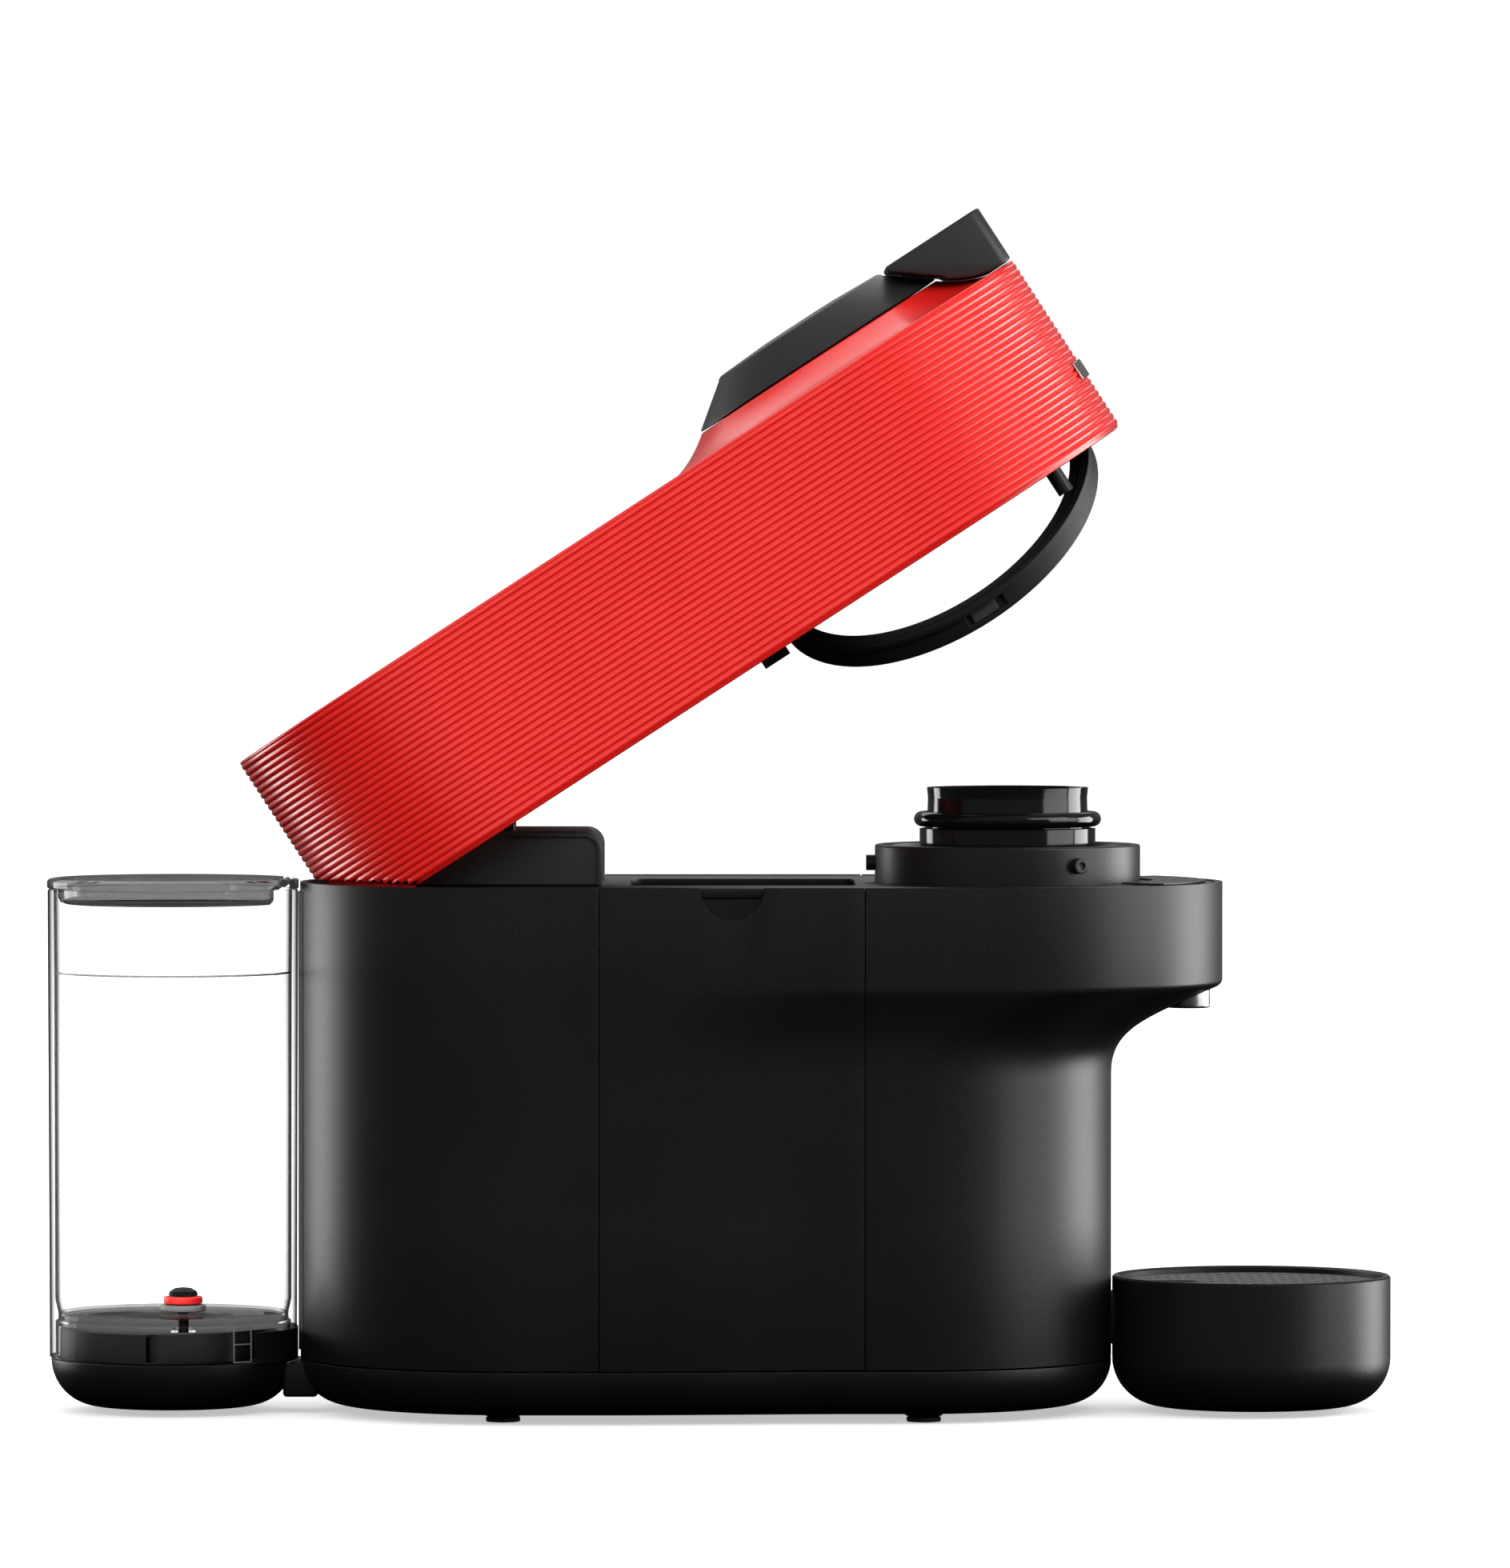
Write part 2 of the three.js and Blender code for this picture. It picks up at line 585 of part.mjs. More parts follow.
function lidHingeBar() {
  const from = LID_PIN.x + LID_PIN.radius + GAP;
  const disk = disc(LID.radius, LID_BOTTOM, LID_BOTTOM + LID.thick - 0.8, TANK_X);
  return common(disk, block(from, FAR, -FAR, FAR, 0, FAR));
}

const VALVE_FLANGE = { radius: 7.25, thick: 2 };
const VALVE_SEAL = { radius: 6.15, thick: 2.4 };
const FLANGE_TOP = TANK_FLOOR_TOP + GAP + VALVE_FLANGE.thick;
const SEAL_TOP = FLANGE_TOP + GAP + VALVE_SEAL.thick;

function valveWasher({ radius, thick }, top) {
  return washer(radius, VALVE.bore, top - thick, top, VALVE.x, 0, 16);
}

function valvePoppet() {
  const stem = VALVE.bore - 0.8;
  const low = TANK.floor - VALVE.spigotDepth + 0.5;
  const head = SEAL_TOP + GAP;
  return turned([
    [0, low], [stem, low], [stem, head], [4.6, head],
    [4.4, head + 1.2], [2.6, head + 2.3], [0, head + 2.6],
  ], VALVE.x, 0, 16);
}

// ---- drip tray ----------------------------------------------------------------------
const TRAY_BORE = TRAY.radius - WALL;
const GRID_TOP = TRAY.top - GRID.drop;

function dripTray() {
  const cup = turned(cupProfile(TRAY, WALL), TRAY_X);
  const ledgeTop = GRID_TOP - GRID.thick - GAP;
  const ledge = washer(TRAY_BORE + 0.6, TRAY_BORE - GRID.ledge, ledgeTop - 1.6, ledgeTop, TRAY_X);
  const inside = disc(TRAY_BORE, TAB.z[0] - 3, TAB.z[1] + 3, TRAY_X);
  const tabs = trayTabs(0).map((tab) => cut(tab, inside));
  return join(cup, ledge, ...tabs);
}

function dripGrid() {
  const radius = TRAY_BORE - 0.5;
  const [z0, z1] = [GRID_TOP - GRID.thick, GRID_TOP];
  const slotX = TRAY_X - 27;
  const slot = stadium(slotX - 4, slotX + 4, 6, 6);
  const holes = [prism(slot, z0 - 1, z1 + 1)];
  const rows = Math.floor(radius / GRID.pitch) + 1;
  for (let row = -rows; row <= rows; row++) {
    for (let column = -rows; column <= rows; column++) {
      const x = TRAY_X + (column + (row % 2) / 2) * GRID.pitch;
      const y = row * GRID.pitch * Math.sqrt(3) / 2;
      const clearOfRim = Math.hypot(x - TRAY_X, y) < radius - 2 * GRID.hole;
      const clearOfSlot = Math.abs(x - slotX) > 14 + GRID.hole || Math.abs(y) > 8 + GRID.hole;
      if (clearOfRim && clearOfSlot) holes.push(disc(GRID.hole, z0 - 1, z1 + 1, x, y, 6));
    }
  }
  return cut(disc(radius, z0, z1, TRAY_X), ...holes);
}

// ---- bin drawer ---------------------------------------------------------------------
function drawerFront(tube) {
  return cut(sidePanel(tube, -1), rodAlongY(NOTCH.radius, NOTCH.x, DECK, -FAR, 0, 28));
}

function drawerBin() {
  const [x0, x1] = [SEAM.rear + BIN.side, SEAM.front - BIN.side];
  const [y0, y1] = BIN.y;
  const { wall, bottom, top } = BIN;
  const hollow = block(x0 + wall, x1 - wall, y0 + wall, y1 - wall, bottom + wall, top + 1);
  return cut(block(x0, x1, y0, y1, bottom, top), hollow);
}

// ---- spinning cup -------------------------------------------------------------------
function capsuleCup() {
  const { radius, top, cavity, rim, depth } = CUP;
  const bowl = arc(cavity, 0, -90, 6, 0, top - depth + cavity);
  const bottom = top - depth - 5;
  return turned([
    [0, bottom], [radius, bottom], [radius, FLANGE.seat], [rim, FLANGE.seat],
    [rim, top], [cavity, top], ...bowl,
  ], BREW_X);
}

function cupFlange() {
  const { rim } = CUP;
  const low = FLANGE.seat + GAP;
  const high = low + FLANGE.thick;
  const round = FLANGE.thick / 2;
  const edge = arc(round, -90, 90, 6, FLANGE.radius - round, low + round);
  return turned([[rim + GAP, low], ...edge, [rim + GAP, high], [rim + GAP, low]], BREW_X);
}

function driveShaft() {
  const high = CUP.top - CUP.depth - 5 - GAP;
  return disc(MOTOR.shaft, MOTOR.bottom + MOTOR.wall + 26, high, BREW_X, 0, 16);
}

function motorRotor() {
  const low = MOTOR.bottom + MOTOR.wall + 3;
  return disc(MOTOR.radius - MOTOR.wall - 2, low, low + 22, BREW_X, 0, 18);
}

// ---- head, drawn level: u along the head from its rear end, v up from its underside --
const HEAD_FRONT_CENTRE = HEAD_LENGTH - HALF_WIDTH;
const CROWN_MID = { radius: 52.2, rise: 1.4 };

function headPrism(inset, v0, v1) {
  return prism(stadium(HALF_WIDTH, HEAD_FRONT_CENTRE, HALF_WIDTH - inset), v0, v1);
}

// Outer line of the crown around the lever, from its foot up to its rim.
function crownLine(raise, steps) {
  const curve = new THREE.QuadraticBezierCurve(
    new THREE.Vector2(CROWN.foot, HEAD.height + raise),
    new THREE.Vector2(CROWN_MID.radius, HEAD.height + CROWN_MID.rise + raise),
    new THREE.Vector2(CROWN.rim, CROWN_TOP + raise),
  );
  return curve.getPoints(steps).map(({ x, y }) => [x, y]);
}

function crownSolid(raise) {
  const low = HEAD.height - 4;
  const line = crownLine(raise, 4);
  return turned([[0, low], [CROWN.foot, low], ...line, [0, CROWN_TOP + raise]], BREW_U);
}

// Half space that lies below the body's deck while the head is open.
function belowDeck() {
  const half = block(-FAR, FAR, -FAR, FAR, -FAR, -HINGE.height + 0.7);
  return half.rotateY(THREE.MathUtils.degToRad(OPEN_ANGLE)).translate(HINGE.fromRear, 0, HINGE_V);
}

function headShell() {
  const { height, wall, bevel, lip, step } = HEAD;
  const outer = join(
    loft([
      { outline: stadium(HALF_WIDTH, HEAD_FRONT_CENTRE, HALF_WIDTH - bevel), z: 0 },
      { outline: stadium(HALF_WIDTH, HEAD_FRONT_CENTRE, HALF_WIDTH), z: bevel },
      { outline: stadium(HALF_WIDTH, HEAD_FRONT_CENTRE, HALF_WIDTH), z: height },
    ]),
    crownSolid(0),
  );
  const hollow = join(
    headPrism(lip, -1, lip),
    headPrism(wall, lip, height - wall),
    crownSolid(-wall),
    disc(CROWN.bore, lip, FAR, BREW_U),
  );
  const plain = cut(outer, hollow);
  // the rear corner steps inwards so that it can dip inside the body's casing
  const stepped = cut(headPrism(step, 0, height), headPrism(step + wall, -1, height - wall));
  const corner = common(stepped, belowDeck());
  const rest = cut(plain, belowDeck());
  const shelf = cut(common(outer, shelfSlab()), headPrism(step + wall, -1, height - wall));
  return join(rest, corner, shelf);
}

// Thin wall between the stepped corner and the full width of the head above it.
function shelfSlab() {
  const level = -HINGE.height + 0.7;
  const slab = block(-FAR, 0, -FAR, FAR, level - 0.2, level + 2);
  return slab.rotateY(THREE.MathUtils.degToRad(OPEN_ANGLE)).translate(HINGE.fromRear, 0, HINGE_V);
}

const CHASSIS = { inset: HEAD.lip + 0.4, bottom: 1, thick: 2.4, from: 106, opening: 62 };
const ARM = { inner: TOWER.halfWidth + 1.5, outer: 48, radius: 9 };
const POST = { u: [120, 130], y: [8, 18] };
const BRACKET = { inner: RING.radius + 0.8, halfWidth: 6, drop: -3.3, top: 10, bore: 2.35 };

function headChassis() {
  const { inset, bottom, thick, from, opening } = CHASSIS;
  const top = bottom + thick;
  const plate = cut(
    headPrism(inset, bottom, top),
    block(-FAR, from, -FAR, FAR, -FAR, FAR),
    disc(opening, bottom - 1, top + 1, BREW_U, 0, 32),
  );
  const limbs = [];
  for (const side of [-1, 1]) {
    const [a0, a1] = [side * ARM.inner, side * ARM.outer].sort((a, b) => a - b);
    limbs.push(rodAlongY(ARM.radius, HINGE.fromRear, HINGE_V, a0, a1));
    limbs.push(block(HINGE.fromRear, from, a0, a1, HINGE_V - ARM.radius + 1, HINGE_V + ARM.radius));
    limbs.push(block(from - 10, from + 12, a0, a1, bottom + 0.4, HINGE_V + ARM.radius));
    const [p0, p1] = [side * POST.y[0], side * POST.y[1]].sort((a, b) => a - b);
    limbs.push(block(POST.u[0], POST.u[1], p0, p1, top - 1, HOUSING.top - GAP));
  }
  const half = BRACKET.halfWidth;
  const rearBracket = [BREW_U - opening - 6, BREW_U - BRACKET.inner];
  const frontBracket = [BREW_U + BRACKET.inner, BREW_U + HALF_WIDTH - inset - 0.6];
  limbs.push(block(...rearBracket, -half, half, BRACKET.drop, BRACKET.top));
  limbs.push(block(...frontBracket, -half, half, bottom, BRACKET.top));
  const pinBore = rodAlongY(HINGE.pin + GAP, HINGE.fromRear, HINGE_V, -FAR, FAR);
  const reach = RING.radius + 6;
  const trunnions = rodAlongX(BRACKET.bore, 0, RING_V, BREW_U - reach, BREW_U + reach + 3);
  return cut(join(plate, ...limbs), pinBore, trunnions);
}

const SPINDLE = { radius: 4, bearing: 10, top: 52 };

function brewHousing() {
  const { radius, bore, bottom, top, web } = HOUSING;
  const hole = SPINDLE.bearing + GAP;
  const bell = turned([
    [bore, bottom], [radius, bottom], [radius, top + web], [hole, top + web],
    [hole, top], [bore, top], [bore, bottom],
  ], BREW_U);
  const arm = block(POST.u[0] - 2, BREW_U - radius + 2, -POST.y[1], POST.y[1], top, top + web);
  return join(bell, arm);
}

function piercingPlate() {
  const { radius, bottom, thick } = PLATE;
  const needle = bottom - 6;
  return turned([
    [0, needle], [0.8, needle + 1], [1.6, bottom], [radius - 3, bottom],
    [radius, bottom - 1], [radius, bottom + thick], [0, bottom + thick],
  ], BREW_U);
}

function plateSpindle() {
  return disc(SPINDLE.radius, PLATE.bottom + PLATE.thick + GAP, SPINDLE.top, BREW_U, 0, 16);
}

function plateBearing() {
  const [z0, z1] = [HOUSING.top - 1.5, HOUSING.top + HOUSING.web + 1.5];
  return washer(SPINDLE.bearing, SPINDLE.radius + GAP, z0, z1, BREW_U, 0, 18);
}

function brewHose() {
  const v = HOUSING.top + HOUSING.web + 4;
  return hose(2.5, [
    [HINGE.fromRear + 12, 12, HINGE_V + 10], [80, 24, v - 8],
    [POST.u[1] + 10, 26, v], [BREW_U - 30, 16, v], [BREW_U - 14, 8, v],
  ]);
}

const BADGE = { v: 22, height: 8, spread: 17, proud: 0.9 };

function frontBadge() {
  const { v, height, spread, proud } = BADGE;
  const inner = HALF_WIDTH + GAP;
  const outline = [
    ...arc(inner + proud, -spread, spread, 8, HEAD_FRONT_CENTRE),
    ...arc(inner, spread, -spread, 8, HEAD_FRONT_CENTRE),
  ];
  return prism(outline, v - height / 2, v + height / 2);
}

function interlockPeg() {
  const y = -Math.sqrt(PEG.ring ** 2 - PEG.ahead ** 2);
  return disc(PEG.radius, PEG.tip, CHASSIS.bottom - GAP, BREW_U + PEG.ahead, y, 16);
}

// ---- lever and button ---------------------------------------------------------------
function leverCap() {
  const { low, high, dome } = CAP;
  const bore = BUTTON.radius + 0.4;
  const [b, t] = [CAP_BOTTOM, CAP_TOP];
  return turned([
    [bore, t - 1.5], [bore, t + dome], [high, t], [low, b], [low - 3.4, b],
    [high - 2, t - 2.3], [bore, t - 1.5],
  ], BREW_U);
}

// The rear face is flat and leans with the cap; a narrow tongue behind it meets the cap's cone.
function leverHandle() {
  const { reach, halfWidth, height, back, tongue } = GRIP;
  const top = CAP_BOTTOM + height;
  const clear = GAP + 0.1;
  const under = crownLine(CAP.gap, 4).slice(0, -1);
  const outline = [
    [CAP.high + back, top], [reach, top], [reach, HEAD.height + CAP.gap], ...under,
    [CAP.low + back, CAP_BOTTOM], [CAP.high + back, CAP_TOP],
  ];
  const bar = sidePrism(outline.map(([x, z]) => [x + BREW_U, z]), -halfWidth, halfWidth);
  const [x0, x1] = [BREW_U + CAP.high, BREW_U + CAP.low + back];
  const root = block(x0, x1, -tongue, tongue, CAP_BOTTOM + clear, CAP_TOP - clear);
  const cone = turned([
    [0, CAP_BOTTOM], [CAP.low + clear, CAP_BOTTOM], [CAP.high + clear, CAP_TOP], [0, CAP_TOP],
  ], BREW_U);
  return join(bar, cut(root, cone));
}

function leverHub() {
  const plate = CROWN.bore - 0.6;
  const [low, high] = [CROWN_TOP - 4.4, CROWN_TOP + 0.1];
  return turned([
    [0, SPINDLE.top + 2], [10, SPINDLE.top + 2], [10, low], [plate, low],
    [plate, high], [0, high],
  ], BREW_U);
}

function brewButton() {
  const top = CAP_TOP + 1.5;
  const under = top - BUTTON.thick;
  const stemLow = CROWN_TOP + 0.1 + GAP + BUTTON.travel;
  return turned([
    [0, stemLow], [5, stemLow], [5, under], [BUTTON.radius, under],
    [BUTTON.radius, top - 0.6], [BUTTON.radius - 0.8, top], [0, top],
  ], BREW_U);
}

// ---- locking ring, drawn level about its own centre -----------------------------------
const LOCK_OUTER = RING.radius - RING.thick - 0.4;
const LUG = { reach: 43.9, thick: 2, halfAngle: 8, ahead: 30 };

function ringCarrier() {
  const { radius, thick, height } = RING;
  const half = height / 2;
  const hoop = washer(radius, radius - thick, -half, half, 0, 0, 32);
  const tip = radius + 4.5;
  const window = block(-7, 7, -radius - 2, -radius + thick + 2, -half - 1, -half + 4);
  const trunnions = [[-tip, -radius + 1], [radius - 1, tip]];
  const rods = trunnions.map(([x0, x1]) => rodAlongX(2, 0, 0, x0, x1));
  return cut(join(hoop, ...rods), window);
}

function lockRing() {
  const half = RING.height / 2;
  const low = -half + 0.2;
  const inner = LOCK_OUTER - RING.lockThick;
  const hoop = washer(LOCK_OUTER, inner, low, half - 1, 0, 0, 32);
  const lugs = PIN.angles.map((angle) => {
    const middle = angle - LUG.ahead;
    const [from, to] = [middle - LUG.halfAngle, middle + LUG.halfAngle];
    const outline = [...arc(inner + 1, from, to, 4), ...arc(LUG.reach, to, from, 4)];
    return prism(outline, low, low + LUG.thick);
  });
  return join(hoop, ...lugs);
}

// ---- assembly -----------------------------------------------------------------------
function buildBase(machine) {
  const tube = bodyTube();
  put(machine, 'base_pan', basePan(), BLACK);
  put(machine, 'tank_dock', tankDock(), BLACK);
  put(machine, 'tank_plinth', tankPlinth(), BLACK);
  put(machine, 'dock_seal', dockSeal(), RUBBER);
  FOOT.x.forEach((x, i) => [-FOOT.y, FOOT.y].forEach((y, j) => {
    put(machine, `foot_pad_${2 * i + j + 1}`, disc(FOOT.radius, 0, FOOT.pad, x, y, 16), RUBBER);
  }));
  put(machine, 'rear_shell', rearShell(tube), BLACK);
  put(machine, 'front_shell', frontShell(tube), BLACK);
  put(machine, 'far_side_panel', sidePanel(tube, 1), BLACK);
  put(machine, 'deck_plate', deckPlate(), BLACK);
  put(machine, 'deck_grille', deckGrille(), BLACK);
  put(machine, 'hinge_tower', hingeTower(), BLACK);
  const pinLength = ARM.outer + 1;
  put(machine, 'hinge_pin', rodAlongY(HINGE.pin, HINGE_X, HINGE_Z, -pinLength, pinLength), STEEL);
  put(machine, 'capsule_collar', capsuleCollar(), BLACK);
  PIN.angles.forEach((angle, i) => {
    put(machine, `lock_pin_${i + 1}`, pinRod(angle, PIN.radius, COLLAR.bore), BLACK);
  });
  put(machine, 'coffee_duct', coffeeDuct(), GREY);
  put(machine, 'coffee_spout', coffeeSpout(), STEEL);
  put(machine, 'motor_stator', motorStator(), STEEL);
  put(machine, 'motor_bracket', motorBracket(), STEEL);
  put(machine, 'shaft_bearing', shaftBearing(), STEEL);
  put(machine, 'boiler', boilerTank(), STEEL);
  put(machine, 'water_pump', waterPump(), GREY);
  put(machine, 'control_board', controlBoard(), BOARD);
  const inletEnd = HALF_WIDTH + INLET.proud;
  put(machine, 'power_inlet', inletRod(INLET.radius, HALF_WIDTH - 7, inletEnd), RUBBER);
  put(machine, 'inlet_hose', inletHose(), HOSE);
  put(machine, 'boiler_hose', boilerHose(), HOSE);
}

function buildTank(machine) {
  put(machine, 'tank_body', tankBody(), CLEAR);
  put(machine, 'tank_lid', tankLid(), SMOKE);
  put(machine, 'lid_hinge_bar', lidHingeBar(), SMOKE);
  const { x, z, radius, halfLength } = LID_PIN;
  put(machine, 'lid_pin', rodAlongY(radius, x, z, -halfLength, halfLength, 12), STEEL);
  put(machine, 'valve_flange', valveWasher(VALVE_FLANGE, FLANGE_TOP), GREY);
  put(machine, 'valve_seal', valveWasher(VALVE_SEAL, SEAL_TOP), SEAL_RED);
  put(machine, 'valve_poppet', valvePoppet(), BLACK);
}

function buildSpinner(machine) {
  put(machine, 'capsule_cup', capsuleCup(), GLOSS_BLACK);
  put(machine, 'cup_flange', cupFlange(), GLOSS_BLACK);
  put(machine, 'drive_shaft', driveShaft(), STEEL);
  put(machine, 'motor_rotor', motorRotor(), STEEL);
}

function buildHead(machine) {
  const swing = new THREE.Group();
  swing.position.set(HINGE_X, 0, HINGE_Z);
  swing.rotation.y = -THREE.MathUtils.degToRad(OPEN_ANGLE);
  const level = new THREE.Group();
  level.position.set(-HINGE.fromRear, 0, -HINGE_V);
  swing.add(level);
  machine.add(swing);
  put(level, 'head_shell', headShell(), RED);
  put(level, 'head_chassis', headChassis(), BLACK);
  put(level, 'brew_housing', brewHousing(), BLACK);
  put(level, 'front_badge', frontBadge(), CHROME);
  put(level, 'interlock_peg', interlockPeg(), BLACK);
  put(level, 'brew_hose', brewHose(), HOSE);
  put(level, 'piercing_plate', piercingPlate(), STEEL);
  put(level, 'plate_spindle', plateSpindle(), STEEL);
  put(level, 'plate_bearing', plateBearing(), STEEL);
  put(level, 'lever_cap', leverCap(), BLACK);
  put(level, 'lever_handle', leverHandle(), BLACK);
  put(level, 'lever_hub', leverHub(), BLACK);
  put(level, 'brew_button', brewButton(), GLOSS_BLACK);
  const ring = new THREE.Group();
  ring.position.set(BREW_U, 0, RING_V);
  ring.rotation.x = THREE.MathUtils.degToRad(RING.tilt);
  level.add(ring);
  put(ring, 'ring_carrier', ringCarrier(), BLACK);
  put(ring, 'lock_ring', lockRing(), BLACK);
}

const machine = new THREE.Group();
buildBase(machine);
put(machine, 'drawer_front', drawerFront(bodyTube()), BLACK);
put(machine, 'drawer_bin', drawerBin(), BLACK);
put(machine, 'drip_tray', dripTray(), BLACK);
put(machine, 'drip_grid', dripGrid(), BLACK);
buildTank(machine);
buildSpinner(machine);
buildHead(machine);

export default machine;
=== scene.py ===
"""Looks of a pod coffee machine with its brewing head open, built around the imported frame."""
import json
import math

import bmesh
import bpy
from mathutils import Matrix, Vector


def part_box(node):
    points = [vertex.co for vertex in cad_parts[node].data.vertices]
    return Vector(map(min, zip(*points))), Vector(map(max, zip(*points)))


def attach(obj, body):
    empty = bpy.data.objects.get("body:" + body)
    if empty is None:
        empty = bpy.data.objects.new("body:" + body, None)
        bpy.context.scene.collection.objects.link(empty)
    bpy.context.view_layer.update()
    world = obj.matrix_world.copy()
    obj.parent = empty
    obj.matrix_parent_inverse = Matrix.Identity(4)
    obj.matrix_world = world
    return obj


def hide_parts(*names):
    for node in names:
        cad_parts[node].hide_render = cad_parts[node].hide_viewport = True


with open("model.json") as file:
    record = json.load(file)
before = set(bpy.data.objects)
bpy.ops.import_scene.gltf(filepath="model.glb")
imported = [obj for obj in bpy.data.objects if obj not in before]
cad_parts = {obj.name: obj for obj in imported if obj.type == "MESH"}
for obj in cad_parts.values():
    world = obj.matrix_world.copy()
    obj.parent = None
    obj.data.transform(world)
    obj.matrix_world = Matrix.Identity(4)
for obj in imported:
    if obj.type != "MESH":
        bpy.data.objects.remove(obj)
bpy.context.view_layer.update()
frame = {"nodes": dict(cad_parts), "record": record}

MM = 0.001  # shapes below are drawn in millimetres and scaled to metres


def box_mm(node):
    """Lowest and highest corner of a CAD node, in millimetres."""
    low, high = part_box(node)
    return Vector(low) / MM, Vector(high) / MM


# ---- sizes shared by the pieces, from the frame where it has them -------------------
joints = {joint["name"]: joint for joint in frame["record"]["behaviour"]["joints"]}
hinge = Vector(joints["head_hinge"]["pos_m"]) / MM
open_angle = math.radians(-joints["head_hinge"]["range_deg"][0])
pan_low, pan_high = box_mm("base_pan")
shell_low, shell_high = box_mm("front_shell")
rear_low, rear_high = box_mm("rear_shell")
collar_low, collar_high = box_mm("capsule_collar")
tank_low, tank_high = box_mm("tank_body")
grid_low, grid_high = box_mm("drip_grid")

HALF_WIDTH = shell_high.y
REAR = rear_low.x
DECK = shell_high.z
BAND_FRONT = shell_high.x
COLUMN_FRONT = pan_high.x
BREW_X = BAND_FRONT - HALF_WIDTH
REAR_CENTRE = REAR + HALF_WIDTH
COLUMN_HALF_WIDTH = 63.2
SEAM_REAR = rear_high.x
SEAM_FRONT = shell_low.x
SEAM_GAP = 0.4
WALL = 2.4
COVE_BOTTOM = 107.9
COVE_RISE = 27.6
TANK_X = (tank_low.x + tank_high.x) / 2
TRAY_X = (grid_low.x + grid_high.x) / 2
HEAD_FLOOR = DECK + 0.5
HINGE_U = hinge.x - REAR
HINGE_V = hinge.z - HEAD_FLOOR
BREW_U = BREW_X - REAR
HEAD_HEIGHT = 62.8
CROWN_TOP = HEAD_HEIGHT + 7.5
RING_V = 4.8
RING_TILT = math.radians(31.6)
FINE = 96  # points round a full circle

# drawing frames: the head is drawn level and then swung open, the ring is tilted in it
HEAD = (
    Matrix.Translation(hinge)
    @ Matrix.Rotation(-open_angle, 4, "Y")
    @ Matrix.Translation((-HINGE_U, 0, -HINGE_V))
)
BREW = HEAD @ Matrix.Translation((BREW_U, 0, 0))
RING = BREW @ Matrix.Translation((0, 0, RING_V)) @ Matrix.Rotation(RING_TILT, 4, "X")


# ---- camera, floor and light ---------------------------------------------------------
def make_camera():
    data = bpy.data.cameras.new("camera")
    data.sensor_width = 36
    data.sensor_fit = "AUTO"
    data.lens = 253.3
    data.clip_end = 20
    camera = bpy.data.objects.new("camera", data)
    camera.location = (0.0114, -3.5, 0.283)
    aim = Vector((0.0114, 0, 0.1993)) - camera.location
    camera.rotation_euler = aim.to_track_quat("-Z", "Y").to_euler()
    bpy.context.collection.objects.link(camera)
    bpy.context.scene.camera = camera


def area_light(name, place, aim, size, power, glossy=True):
    data = bpy.data.lights.new(name, "AREA")
    data.shape = "RECTANGLE"
    data.size, data.size_y = size
    data.energy = power
    lamp = bpy.data.objects.new(name, data)
    lamp.location = place
    lamp.rotation_euler = (Vector(aim) - Vector(place)).to_track_quat("-Z", "Y").to_euler()
    lamp.visible_glossy = glossy
    lamp.visible_camera = False
    bpy.context.collection.objects.link(lamp)


def make_world():
    world = bpy.data.worlds.new("studio")
    bpy.context.scene.world = world
    world.use_nodes = True
    nodes, links = world.node_tree.nodes, world.node_tree.links
    nodes.clear()
    path = nodes.new("ShaderNodeLightPath")
    seen = nodes.new("ShaderNodeMath")
    seen.operation = "MAXIMUM"
    white = nodes.new("ShaderNodeBackground")
    white.inputs["Color"].default_value = (1, 1, 1, 1)
    dim = nodes.new("ShaderNodeBackground")
    place = nodes.new("ShaderNodeTexCoord")
    split = nodes.new("ShaderNodeSeparateXYZ")
    links.new(place.outputs["Generated"], split.inputs[0])
    sky = nodes.new("ShaderNodeMapRange")
    sky.inputs["From Min"].default_value = -0.3
    sky.inputs["From Max"].default_value = 0.15
    sky.inputs["To Min"].default_value = 0.0
    sky.inputs["To Max"].default_value = 0.15
    links.new(split.outputs["Z"], sky.inputs["Value"])
    links.new(sky.outputs["Result"], dim.inputs["Color"])
    mix = nodes.new("ShaderNodeMixShader")
    output = nodes.new("ShaderNodeOutputWorld")
    links.new(path.outputs["Is Camera Ray"], seen.inputs[0])
    links.new(path.outputs["Is Transmission Ray"], seen.inputs[1])
    links.new(seen.outputs[0], mix.inputs["Fac"])
    links.new(dim.outputs[0], mix.inputs[1])
    links.new(white.outputs[0], mix.inputs[2])
    links.new(mix.outputs[0], output.inputs["Surface"])


